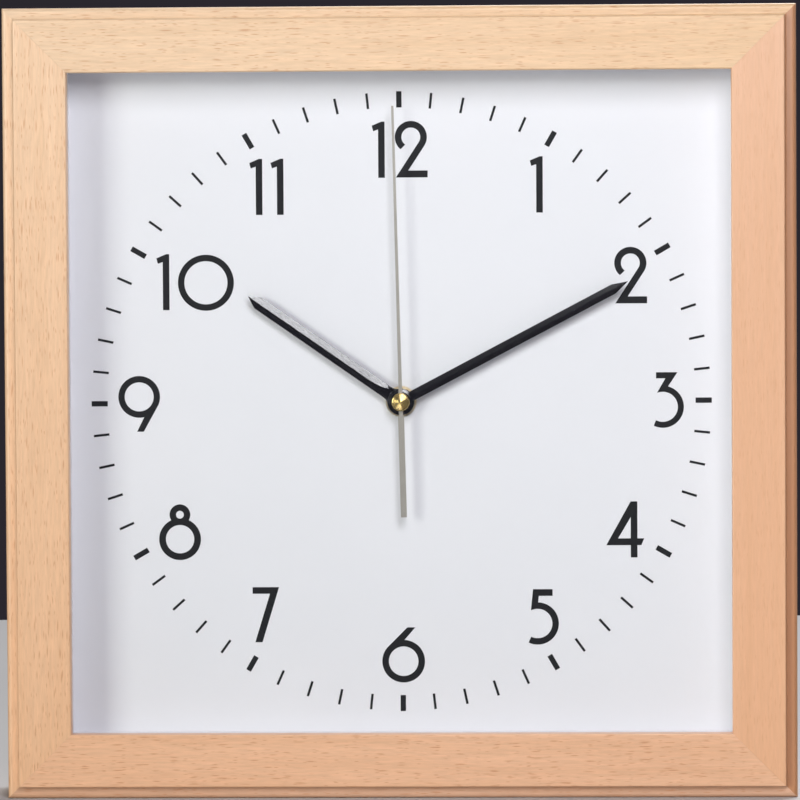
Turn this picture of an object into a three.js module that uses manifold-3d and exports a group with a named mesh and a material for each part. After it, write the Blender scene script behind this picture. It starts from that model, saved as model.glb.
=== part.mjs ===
// Square wall clock: a mitred beech frame round a glazed white dial, with a quartz movement behind it.
// Millimetres. The front faces -Y and +Z is up. The origin is on the wall, where the hook holds the clock.
import * as THREE from "three";
import { mergeVertices } from "three/addons/utils/BufferGeometryUtils.js";
import { ConvexGeometry } from "three/addons/geometries/ConvexGeometry.js";
import Module from "manifold-3d";

const wasm = await Module();
wasm.setup();

// Frame moulding
const SIGHT_SIDE = 250.9; // the square opening in the frame's face
const FACE_WIDTH = 20.1; // the raised flat face of each rail
const LEDGE_WIDTH = 4.45; // the lower ledge outside the face
const LEDGE_DROP = 3; // how far the ledge lies behind the face
const LIP_THICKNESS = 6; // wood in front of the glass
const REBATE_WIDTH = 6.5; // step that the glass rests against
const FACE_ARRIS = 0.6; // rounding of the face's two edges
const LEDGE_ROUND = 1.8; // rounding of the outermost edge
const LEDGE_COVE = 1; // hollow where the ledge meets the face's side
const MITRE_GAP = 0.02; // half the glue line between two rails

// Pieces in the rebate, front to back
const SEAT = 0.05; // play between pieces that lie on each other
const PANE_PLAY = 0.5; // play round the pane, dial and board in the rebate
const GLASS_THICKNESS = 2;
const SPACER_DEPTH = 12;
const SPACER_WIDTH = 5;
const DIAL_THICKNESS = 0.8;
const BOARD_THICKNESS = 3;
const GASKET_THICKNESS = 1;
const GASKET_WIDTH = 6;

// Steel points that hold the board, and nails across the mitres
const POINT_LENGTH = 14;
const POINT_WIDTH = 6;
const POINT_THICKNESS = 0.6;
const POINT_BITE = 6; // length of a point inside the wood
const NAIL_LEG = 5;
const NAIL_DEPTH = 8;
const NAIL_THICKNESS = 0.6;
const NAIL_SPREAD = 35; // degrees from the mitre to each leg
const CUT_CLEARANCE = 0.12; // play round a fastener in the wood

// Keyhole hanger
const HANGER_LENGTH = 44;
const HANGER_THICKNESS = 1.2;
const HANGER_MARGIN = 2.8; // rail left above and below the plate
const HOOK_RADIUS = 1.9; // half the slot's width
const HEAD_RADIUS = 3.9; // the round hole that a nail's head enters
const KEYHOLE_DROP = 5.2; // from the slot's end to the round hole's centre
const POCKET_DEPTH = 8;
const SCREW_RADIUS = 1.4;
const SCREW_HEAD_RADIUS = 2.8;
const SCREW_LENGTH = 10;

// Battery and the case sized round it
const BATTERY_DIAMETER = 14.5;
const BATTERY_LENGTH = 50.5;
const BATTERY_NUB_RADIUS = 2.7;
const BATTERY_NUB_LENGTH = 1.2;
const BATTERY_PLAY = 0.3;
const LEAF_ROOM = 1.55; // room for a contact at each end of the battery
const LEAF_THICKNESS = 0.4;
const LEAF_DEPTH = 3;
const CASE_WALL = 1.2;
const CHAMBER_HEIGHT = 38.1; // room for the wheels, above the battery
const CENTRE_DROP_SHARE = 0.517; // from the chamber's roof to the hands' centre, of its height
const KNOB_RADIUS = 5;
const KNOB_HEIGHT = 2.6;
const KNOB_GAP = 0.4;
const REAR_CLEARANCE = 0.95; // from the knob to the wall

// Coaxial pipes, inside to outside
const SECOND_ARBOR_RADIUS = 0.5;
const RUNNING_PLAY = 0.1;
const MINUTE_PIPE_WALL = 0.85;
const HOUR_PIPE_WALL = 0.8;
const NECK_WALL = 1.4;
const ARBOR_RADIUS = 0.35;
const PIVOT_RADIUS = 0.2; // an arbor's ends, thinner so that its shoulders keep it in place
const SETTING_SHAFT_RADIUS = 0.7;
const WHEEL_THICKNESS = 0.8;
const PINION_LENGTH = 1.15;

// Washer and nut that clamp the movement to the dial
const WASHER_THICKNESS = 0.6;
const WASHER_RADIUS = 5.9;
const NUT_THICKNESS = 2;
const NUT_RADIUS = 5.5; // to its corners

// Hands, with clearances that stack them in front of the dial
const NECK_PROUD = 0.4;
const HAND_GAP = 0.55;
const HAND_EDGE = 0.3;
const HAND_RISE = 0.5; // height of the ridge above the hand's edges
const BOSS_THICKNESS = 0.9;
const BOSS_RADIUS = 5.1;
const BOSS_FLAT_SHARE = 0.74; // of its radius, before its face slopes to the rim
const BOSS_SLOPE = 0.25;
// A blade's root: distance from the centre, outline and flat top, as shares of its half width
const ROOT_SHARES = [
  [1.65, 1.33, 1.18], [1.85, 1.19, 1.05], [2.1, 1.08, 0.93], [2.45, 1.02, 0.76], [2.8, 1, 0.6],
  [3.2, 1, 0.42], [3.65, 1, 0.26], [4.1, 1, 0.16], [4.9, 1, 0.06], [5.8, 1, 0],
];
const HOUR_TIP_MARGIN = 54.6; // from the tip to the sight edge when it points up
const HOUR_WIDTH = 4.9;
const HOUR_POINT = 4.6;
const MINUTE_TIP_MARGIN = 27.6;
const MINUTE_WIDTH = 3.8;
const MINUTE_POINT = 6.2;
const SECOND_TIP_MARGIN = 12.9;
const SECOND_TIP_WIDTH = 0.9;
const SECOND_ROOT_WIDTH = 1.35;
const SECOND_BOSS_RADIUS = 2.6;
const TAIL_LENGTH = 44;
const TAIL_WIDTH = 2.3;
const TAIL_NECK_WIDTH = 1.6;
const TAIL_NECK_LENGTH = 5.3;
const CAP_RADIUS = 3.4;
const CAP_HEIGHT = 1.7;
const CAP_CROWN = 0.12; // how much its face is domed
const CAP_ARRIS = 0.5;

// The time shown, in degrees clockwise from twelve
const HOUR_ANGLE = 304.9;
const MINUTE_ANGLE = 62.3;
const SECOND_ANGLE = -1.3;

// Tooth counts of the wheels and pinions
const TEETH = {
  rotorPinion: 8,
  intermediateWheel: 60,
  intermediatePinion: 10,
  secondWheel: 40,
  secondPinion: 8,
  thirdWheel: 60,
  thirdPinion: 8,
  centreWheel: 64,
  minutePinion: 10,
  motionWheel: 30,
  motionPinion: 8,
  hourWheel: 32,
};
// A tooth's widths as shares of the pitch, and its heights as shares of the module
const TIP_WIDTH_SHARE = 0.11;
const ROOT_WIDTH_SHARE = 0.31;
const ADDENDUM_SHARE = 0.9;
const DEDENDUM_SHARE = 1.1;

// Plan of the case: places as shares of the plan's unit, which is the chamber's half width
// unless a share of its height is less
const PLAN_SHARE = 0.704;
const THIRD_SPACING_SHARE = 0.343;
const THIRD_BEARING = 200; // bearings are degrees anticlockwise from +X, seen from the front
const INTERMEDIATE_SPACING_SHARE = 0.381;
const INTERMEDIATE_BEARING = -15;
const ROTOR_SPACING_SHARE = 0.306;
const ROTOR_BEARING = 70;
const MOTION_SPACING_SHARE = 0.381;
const MOTION_BEARING = 110;
const POST_SHARES = [[-0.71, 0.3], [-0.71, -0.45], [0.112, -0.52], [0.22, 0.525]];
const BRIDGE_SHARES = [
  [-0.79, 0.38], [-0.79, -0.53], [0.19, -0.6], [0.6, -0.19], [0.6, 0.3], [0.3, 0.6], [-0.22, 0.6],
];
const STATOR_PEG_SHARES = [[0.855, 0.373], [0.855, -0.373], [0.555, -0.382], [0.4, 0.385]];
const POST_RADIUS_SHARE = 0.047;
const PEG_RADIUS_SHARE = 0.036;
const PIN_RADIUS_SHARE = 0.022;
const MAGNET_RADIUS_SHARE = 0.093;
const ROTOR_HOLE_SHARE = 0.12;
const STATOR_SHARES = { left: 0.332, inner: 0.62, right: 0.91, top: 0.43, arm: 0.11 };
const COIL_SHARES = { core: 0.03, bore: 0.045, wound: 0.079, flange: 0.094, rim: 0.045 };
const CARD_SHARES = { left: 0.34, height: 0.25 };
const CHIP_RADIUS_SHARE = 0.1;

// Depths in the case are counted in equal layers, from the dial side
const LAYER_COUNT = 9;
const LAYERS = {
  hour: 1, motion: 2, centre: 3, third: 4, second: 5, intermediate: 6, stator: 7, bridge: 8, board: 5,
};

const FINE = 32;
const ROUND = 24;
const COARSE = 12;
const CURVE_STEPS = 4;
const OVERRUN = 2; // how far a cutter runs past what it cuts
const MERGE = 1e-4;

// Sizes that follow from the ones above
const moulding = FACE_WIDTH + LEDGE_WIDTH;
const frameHalf = SIGHT_SIDE / 2 + moulding;
const sightHalf = SIGHT_SIDE / 2;
const rebateHalf = sightHalf + REBATE_WIDTH;
const paneHalf = rebateHalf - PANE_PLAY;
const caseDepth = CASE_WALL + BATTERY_PLAY + BATTERY_DIAMETER;
const rebateStack = GLASS_THICKNESS + SPACER_DEPTH + DIAL_THICKNESS + BOARD_THICKNESS + GASKET_THICKNESS;
const seats = 5 * SEAT;
const frameDepth =
  LIP_THICKNESS + rebateStack + seats + caseDepth + KNOB_GAP + KNOB_HEIGHT + REAR_CLEARANCE;
const faceY = -frameDepth;
const glassY = faceY + LIP_THICKNESS + SEAT; // each of these is a piece's front
const spacerY = glassY + GLASS_THICKNESS + SEAT;
const dialY = spacerY + SPACER_DEPTH + SEAT;
const boardY = dialY + DIAL_THICKNESS + SEAT;
const gasketY = boardY + BOARD_THICKNESS + SEAT;
const caseY = gasketY + GASKET_THICKNESS;
const caseBackY = caseY + caseDepth;
const coverY = caseBackY - CASE_WALL;
const knobY = caseBackY + KNOB_GAP;

const minutePipeRadius = SECOND_ARBOR_RADIUS + RUNNING_PLAY + MINUTE_PIPE_WALL;
const hourBore = minutePipeRadius + RUNNING_PLAY;
const hourPipeRadius = hourBore + HOUR_PIPE_WALL;
const neckBore = hourPipeRadius + RUNNING_PLAY;
const neckRadius = neckBore + NECK_WALL;

const washerY = dialY - SEAT - WASHER_THICKNESS;
const nutY = washerY - SEAT - NUT_THICKNESS;
const neckY = nutY - NECK_PROUD;
const hourHandY = neckY - HAND_GAP; // a hand's back face
const minuteHandY = hourHandY - BOSS_THICKNESS - HAND_GAP;
const secondHandY = minuteHandY - BOSS_THICKNESS - HAND_GAP;

const caseHalf = BATTERY_LENGTH / 2 + LEAF_ROOM + CASE_WALL;
const chamberHalf = caseHalf - CASE_WALL;
const chamberTop = CENTRE_DROP_SHARE * CHAMBER_HEIGHT;
const chamberBottom = chamberTop - CHAMBER_HEIGHT;
const bayTop = chamberBottom - CASE_WALL;
const batteryRadius = BATTERY_DIAMETER / 2;
const batteryZ = bayTop - BATTERY_PLAY - batteryRadius;
const batteryY = caseBackY - batteryRadius;
const bayBottom = batteryZ - batteryRadius - BATTERY_PLAY;
const caseTop = chamberTop + CASE_WALL;
const caseBottom = bayBottom - CASE_WALL;

const chamberY = caseY + CASE_WALL;
const layerPitch = (coverY - chamberY) / LAYER_COUNT;
const layerY = (layer) => chamberY + (layer - 1 / 2) * layerPitch;

const hookInset = HANGER_MARGIN + HOOK_RADIUS + HANGER_MARGIN / 2;
const hookHeight = frameHalf - hookInset;

// Points of the case's plan
const planUnit = Math.min(chamberHalf, PLAN_SHARE * CHAMBER_HEIGHT);
const polar = (spacing, bearing, from = [0, 0]) => [
  from[0] + spacing * Math.cos(THREE.MathUtils.degToRad(bearing)),
  from[1] + spacing * Math.sin(THREE.MathUtils.degToRad(bearing)),
];
const thirdSpacing = THIRD_SPACING_SHARE * planUnit;
const intermediateSpacing = INTERMEDIATE_SPACING_SHARE * planUnit;
const rotorSpacing = ROTOR_SPACING_SHARE * planUnit;
const motionSpacing = MOTION_SPACING_SHARE * planUnit;
const centreAxis = [0, 0];
const thirdAxis = polar(thirdSpacing, THIRD_BEARING);
const intermediateAxis = polar(intermediateSpacing, INTERMEDIATE_BEARING);
const rotorAxis = polar(rotorSpacing, ROTOR_BEARING, intermediateAxis);
const motionAxis = polar(motionSpacing, MOTION_BEARING);
const inPlan = (shares) => shares.map(([x, z]) => [x * planUnit, z * planUnit]);
const postPlaces = inPlan(POST_SHARES);
const statorPegPlaces = inPlan(STATOR_PEG_SHARES);
const pegRadius = PEG_RADIUS_SHARE * planUnit;
const pinRadius = PIN_RADIUS_SHARE * planUnit;
const cardHeight = CARD_SHARES.height * planUnit;
const card = { left: CARD_SHARES.left * planUnit, right: chamberHalf - LEAF_THICKNESS - 2 * SEAT };
card.top = chamberTop - LEAF_THICKNESS - 2 * SEAT;
card.bottom = card.top - cardHeight;
card.middle = card.top - cardHeight / 2;
const cardPegPlaces = [
  [card.left + 2 * pegRadius, card.middle],
  [card.right - 2 * pegRadius, card.middle],
];

const finishes = {
  beech: { color: 0xe6bd92, roughness: 0.45, metalness: 0 },
  glass: { color: 0xf4f8f8, roughness: 0.02, metalness: 0, transparent: true, opacity: 0.15 },
  white: { color: 0xf1f1f3, roughness: 0.6, metalness: 0 },
  hardboard: { color: 0x7d5a3c, roughness: 0.85, metalness: 0 },
  black: { color: 0x1b1c20, roughness: 0.35, metalness: 0 },
  casing: { color: 0x26272a, roughness: 0.5, metalness: 0 },
  nylon: { color: 0xe9e6dc, roughness: 0.5, metalness: 0 },
  silver: { color: 0xa6a29c, roughness: 0.35, metalness: 1 },
  steel: { color: 0xb4b7ba, roughness: 0.35, metalness: 1 },
  brass: { color: 0xcda04c, roughness: 0.25, metalness: 1 },
  rubber: { color: 0x18181a, roughness: 0.9, metalness: 0 },
  copper: { color: 0xb5653a, roughness: 0.4, metalness: 1 },
  circuit: { color: 0x1f6b3d, roughness: 0.6, metalness: 0 },
  battery: { color: 0x2f6f8f, roughness: 0.4, metalness: 0 },
};

const clock = new THREE.Group();
clock.position.z = -hookHeight; // every piece below is placed from the dial's centre

function place(name, finish, geometry, parent = clock) {
  const mesh = new THREE.Mesh(geometry, new THREE.MeshStandardMaterial(finishes[finish]));
  mesh.name = name;
  parent.add(mesh);
  return mesh;
}

function toSolid(geometry) {
  const bare = geometry.index ? geometry.toNonIndexed() : geometry.clone();
  bare.deleteAttribute("normal");
  bare.deleteAttribute("uv");
  const merged = mergeVertices(bare, MERGE);
  const vertProperties = merged.attributes.position.array;
  const triVerts = new Uint32Array(merged.index.array);
  return new wasm.Manifold(new wasm.Mesh({ numProp: 3, vertProperties, triVerts }));
}

function toGeometry(solid) {
  const mesh = solid.getMesh();
  const geometry = new THREE.BufferGeometry();
  geometry.setAttribute("position", new THREE.BufferAttribute(mesh.vertProperties, 3));
  geometry.setIndex(new THREE.BufferAttribute(mesh.triVerts, 1));
  geometry.computeVertexNormals();
  return geometry;
}

function join(...geometries) {
  return toGeometry(geometries.map(toSolid).reduce((all, next) => all.add(next)));
}

function cut(geometry, ...cutters) {
  return toGeometry(cutters.map(toSolid).reduce((rest, next) => rest.subtract(next), toSolid(geometry)));
}

// A box between two corners
function block([x0, y0, z0], [x1, y1, z1]) {
  const box = new THREE.BoxGeometry(x1 - x0, y1 - y0, z1 - z0);
  return box.translate((x0 + x1) / 2, (y0 + y1) / 2, (z0 + z1) / 2);
}

// A flat outline in X and Z, made solid from its front at y back by its thickness
function plate(shape, y, thickness, curveSegments = ROUND) {
  const solid = new THREE.ExtrudeGeometry(shape, { depth: thickness, bevelEnabled: false, curveSegments });
  return solid.rotateX(Math.PI / 2).translate(0, y + thickness, 0);
}

const outline = (points) => new THREE.Shape(points.map(([x, z]) => new THREE.Vector2(x, z)));

// A turned piece about an axis along Y, from [radius, y] points
function turned(points, segments = ROUND) {
  return new THREE.LatheGeometry(points.map(([r, y]) => new THREE.Vector2(r, y)), segments);
}

const rod = (radius, y0, y1, segments = ROUND) =>
  turned([[0, y0], [radius, y0], [radius, y1], [0, y1]], segments);

const pipe = (bore, radius, y0, y1, segments = ROUND) =>
  turned([[bore, y0], [radius, y0], [radius, y1], [bore, y1], [bore, y0]], segments);

const at = (geometry, [x, z]) => geometry.translate(x, 0, z);

// One rail's section: u runs in from the outermost edge, v back from the face
function railSection() {
  const section = new THREE.Shape();
  const ledgeV = LEDGE_DROP;
  section.moveTo(LEDGE_WIDTH + FACE_ARRIS, 0);
  section.lineTo(moulding - FACE_ARRIS, 0);
  section.absarc(moulding - FACE_ARRIS, FACE_ARRIS, FACE_ARRIS, -Math.PI / 2, 0, false);
  section.lineTo(moulding, LIP_THICKNESS);
  section.lineTo(moulding - REBATE_WIDTH, LIP_THICKNESS);
  section.lineTo(moulding - REBATE_WIDTH, frameDepth);
  section.lineTo(0, frameDepth);
  section.lineTo(0, ledgeV + LEDGE_ROUND);
  section.absarc(LEDGE_ROUND, ledgeV + LEDGE_ROUND, LEDGE_ROUND, Math.PI, Math.PI * 1.5, false);
  section.lineTo(LEDGE_WIDTH - LEDGE_COVE, ledgeV);
  section.absarc(LEDGE_WIDTH - LEDGE_COVE, ledgeV - LEDGE_COVE, LEDGE_COVE, Math.PI / 2, 0, true);
  section.lineTo(LEDGE_WIDTH, FACE_ARRIS);
  section.absarc(LEDGE_WIDTH + FACE_ARRIS, FACE_ARRIS, FACE_ARRIS, Math.PI, Math.PI * 1.5, false);
  return section;
}

// The top rail, with both ends cut to the mitre, turned to its side of the frame
function rail(turn) {
  const solid = new THREE.ExtrudeGeometry(railSection(), {
    depth: frameHalf,
    bevelEnabled: false,
    curveSegments: CURVE_STEPS,
  });
  const position = solid.attributes.position;
  for (let i = 0; i < position.count; i++) {
    const u = position.getX(i);
    const end = position.getZ(i) > 0 ? 1 : -1;
    const reach = frameHalf - u - MITRE_GAP;
    position.setXYZ(i, end * reach, faceY + position.getY(i), frameHalf - u);
  }
  return solid.rotateY(turn);
}

// A V of steel across a mitre at the frame's back, grown by its clearance when it cuts the wood
function cornerNail(turn, grow = 0) {
  const thickness = NAIL_THICKNESS + 2 * grow;
  const legs = [-NAIL_SPREAD, NAIL_SPREAD].map((spread) => {
    const leg = block([-thickness / 2, -NAIL_DEPTH - grow, -grow], [thickness / 2, grow, NAIL_LEG + grow]);
    return leg.rotateY(THREE.MathUtils.degToRad(spread));
  });
  const middle = frameHalf - (moulding - REBATE_WIDTH) / 2 - NAIL_LEG / 2;
  return join(...legs).rotateY(Math.PI / 4).translate(middle, -SEAT, middle).rotateY(turn);
}

// A steel point behind the board, half in the top rail, at x along it
function boardPoint(x, turn, grow = 0) {
  const y = boardY + BOARD_THICKNESS + SEAT;
  const wide = POINT_WIDTH / 2 + grow;
  const tail = rebateHalf + POINT_BITE + grow;
  return block([x - wide, y - grow, tail - POINT_LENGTH], [x + wide, y + POINT_THICKNESS + grow, tail])
    .rotateY(turn);
}

function hangerPlate(grow = 0) {
  const half = HANGER_LENGTH / 2 + grow;
  const top = frameHalf - HANGER_MARGIN / 2 + grow;
  const bottom = rebateHalf + HANGER_MARGIN / 2 - grow;
  return { half, top, bottom };
}

const screwX = (HANGER_LENGTH / 2 + HEAD_RADIUS) / 2;
const screwZ = hookHeight - KEYHOLE_DROP / 2;
const pocketHalf = HEAD_RADIUS + HOOK_RADIUS;
const keyholeZ = hookHeight - KEYHOLE_DROP;

function screwProfile(grow = 0) {
  const head = SCREW_HEAD_RADIUS + grow;
  const shank = SCREW_RADIUS + grow;
  const coneY = -SEAT - HANGER_THICKNESS;
  return [
    [0, -SEAT - SCREW_LENGTH - grow],
    [shank / 2, -SEAT - SCREW_LENGTH + shank - grow],
    [shank, -SEAT - SCREW_LENGTH + 2 * shank - grow],
    [shank, coneY - grow],
    [head, -SEAT - grow / 2],
    [head, -SEAT + (grow ? OVERRUN : 0)],
    [0, -SEAT + (grow ? OVERRUN : 0)],
  ];
}

function buildFrame() {
  const sides = { top: 0, right: Math.PI / 2, bottom: Math.PI, left: -Math.PI / 2 };
  const pointX = frameHalf / 2;
  const plateSize = hangerPlate(CUT_CLEARANCE);
  const hangerCuts = [
    block(
      [-plateSize.half, -SEAT - HANGER_THICKNESS - CUT_CLEARANCE, plateSize.bottom],
      [plateSize.half, OVERRUN, plateSize.top],
    ),
    block(
      [-pocketHalf, -POCKET_DEPTH, keyholeZ - HEAD_RADIUS],
      [pocketHalf, OVERRUN, hookHeight + HEAD_RADIUS],
    ),
    ...[-screwX, screwX].map((x) => at(turned(screwProfile(CUT_CLEARANCE), COARSE), [x, screwZ])),
  ];
  for (const [side, turn] of Object.entries(sides)) {
    const cutters = [-pointX, pointX].map((x) => boardPoint(x, turn, CUT_CLEARANCE));
    cutters.push(cornerNail(turn, CUT_CLEARANCE), cornerNail(turn - Math.PI / 2, CUT_CLEARANCE));
    if (side === "top") cutters.push(...hangerCuts);
    place(`frame_rail_${side}`, "beech", cut(rail(turn), ...cutters));
    place(`board_point_${side}_a`, "steel", boardPoint(-pointX, turn));
    place(`board_point_${side}_b`, "steel", boardPoint(pointX, turn));
  }
  const corners = { top_right: 0, bottom_right: Math.PI / 2, bottom_left: Math.PI, top_left: -Math.PI / 2 };
  for (const [corner, turn] of Object.entries(corners)) {
    place(`corner_nail_${corner}`, "steel", cornerNail(turn));
  }
}

function buildHanger() {
  const { half, top, bottom } = hangerPlate();
  const shape = outline([[-half, bottom], [half, bottom], [half, top], [-half, top]]);
  const turnIn = Math.acos(HOOK_RADIUS / HEAD_RADIUS);
  const keyhole = new THREE.Path();
  keyhole.absarc(0, hookHeight, HOOK_RADIUS, 0, Math.PI, false);
  keyhole.absarc(0, keyholeZ, HEAD_RADIUS, Math.PI - turnIn, turnIn + 2 * Math.PI, false);
  shape.holes.push(keyhole);
  const body = plate(shape, -SEAT - HANGER_THICKNESS, HANGER_THICKNESS, COARSE);
  const holes = [-screwX, screwX].map((x) => at(turned(screwProfile(SEAT), COARSE), [x, screwZ]));
  place("hanger_plate", "steel", cut(body, ...holes));
  place("hanger_screw_left", "steel", at(turned(screwProfile(), COARSE), [-screwX, screwZ]));
  place("hanger_screw_right", "steel", at(turned(screwProfile(), COARSE), [screwX, screwZ]));
}

function squareWithHole(half, y, thickness, holeRadius) {
  const shape = outline([[-half, -half], [half, -half], [half, half], [-half, half]]);
  if (holeRadius) {
    const hole = new THREE.Path();
    hole.absarc(0, 0, holeRadius, 0, 2 * Math.PI, true);
    shape.holes.push(hole);
  }
  return plate(shape, y, thickness, FINE);
}

function buildDial() {
  place("glass_pane", "glass", squareWithHole(paneHalf, glassY, GLASS_THICKNESS));
  const inner = paneHalf - SPACER_WIDTH;
  const back = spacerY + SPACER_DEPTH;
  for (const [side, end] of [["top", 1], ["bottom", -1]]) {
    const z = [end * inner, end * paneHalf].sort((a, b) => a - b);
    place(`spacer_${side}`, "white", block([-paneHalf, spacerY, z[0]], [paneHalf, back, z[1]]));
  }
  for (const [side, end] of [["right", 1], ["left", -1]]) {
    const x = [end * inner, end * paneHalf].sort((a, b) => a - b);
    const reach = inner - SEAT;
    place(`spacer_${side}`, "white", block([x[0], spacerY, -reach], [x[1], back, reach]));
  }
  const hole = neckRadius + PANE_PLAY / 2;
  place("dial_plate", "white", squareWithHole(paneHalf, dialY, DIAL_THICKNESS, hole));
  place("backing_board", "hardboard", squareWithHole(paneHalf, boardY, BOARD_THICKNESS, hole));
  place(
    "mounting_gasket",
    "rubber",
    pipe(hole, hole + GASKET_WIDTH, gasketY, gasketY + GASKET_THICKNESS - SEAT),
  );
  const washer = pipe(neckRadius + SEAT, WASHER_RADIUS, washerY, washerY + WASHER_THICKNESS, FINE);
  place("dial_washer", "brass", washer);
  const hexagon = outline(
    Array.from({ length: 6 }, (_, i) => [
      NUT_RADIUS * Math.cos((i * Math.PI) / 3),
      NUT_RADIUS * Math.sin((i * Math.PI) / 3),
    ]),
  );
  const bore = rod(neckRadius + SEAT, nutY - OVERRUN, nutY + NUT_THICKNESS + OVERRUN);
  place("dial_nut", "brass", cut(plate(hexagon, nutY, NUT_THICKNESS), bore));
}

// A gear's outline; phase is the angle of one tooth's middle, anticlockwise from +X
function gearShape(teeth, module, phase) {
  const pitch = (2 * Math.PI) / teeth;
  const root = module * (teeth / 2 - DEDENDUM_SHARE);
  const tip = module * (teeth / 2 + ADDENDUM_SHARE);
  const corners = [
    [root, -ROOT_WIDTH_SHARE],
    [tip, -TIP_WIDTH_SHARE],
    [tip, TIP_WIDTH_SHARE],
    [root, ROOT_WIDTH_SHARE],
  ];
  const points = [];
  for (let tooth = 0; tooth < teeth; tooth++) {
    for (const [radius, width] of corners) {
      const angle = phase + (tooth + width) * pitch;
      points.push([radius * Math.cos(angle), radius * Math.sin(angle)]);
    }
  }
  return outline(points);
}

function gear(teeth, module, phase, y, thickness) {
  return plate(gearShape(teeth, module, phase), y - thickness / 2, thickness);
}

const moduleOf = (spacing, teethA, teethB) => (2 * spacing) / (teethA + teethB);

// Phase of gear B that meshes with gear A at phase a, where B lies at a bearing from A
function meshed(phaseA, teethA, teethB, bearing) {
  const way = THREE.MathUtils.degToRad(bearing);
  return way + Math.PI + Math.PI / teethB - (teethA / teethB) * (phaseA - way);
}

const wheelY = Object.fromEntries(Object.entries(LAYERS).map(([name, layer]) => [name, layerY(layer)]));
const bridgeBackY = wheelY.bridge + CASE_WALL / 2;
const bridgeFrontY = wheelY.bridge - CASE_WALL / 2;
const socketDepth = (CASE_WALL * 2) / 3;
const frontPivotY = chamberY - socketDepth + RUNNING_PLAY;
const arborFrontY = chamberY + RUNNING_PLAY;
const arborBackY = bridgeFrontY - RUNNING_PLAY;
const statorY = wheelY.stator - WHEEL_THICKNESS / 2;
const cardY = wheelY.board;

// A peg from the case's floor with a thinner pin that goes through a plate lying on it
function peg([x, z], radius, plateY, thickness) {
  const foot = rod(radius, chamberY - socketDepth, plateY - SEAT, COARSE);
  const pin = rod(pinRadius, plateY - OVERRUN, plateY + thickness + SEAT, COARSE);
  return at(join(foot, pin), [x, z]);
}

const pinHole = (spot) => at(rod(pinRadius + SEAT, chamberY, OVERRUN, COARSE), spot);

function trainPiece(name, finish, axis, ...geometries) {
  const mesh = place(name, finish, join(...geometries));
  mesh.position.set(axis[0], 0, axis[1]);
  return mesh;
}

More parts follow.
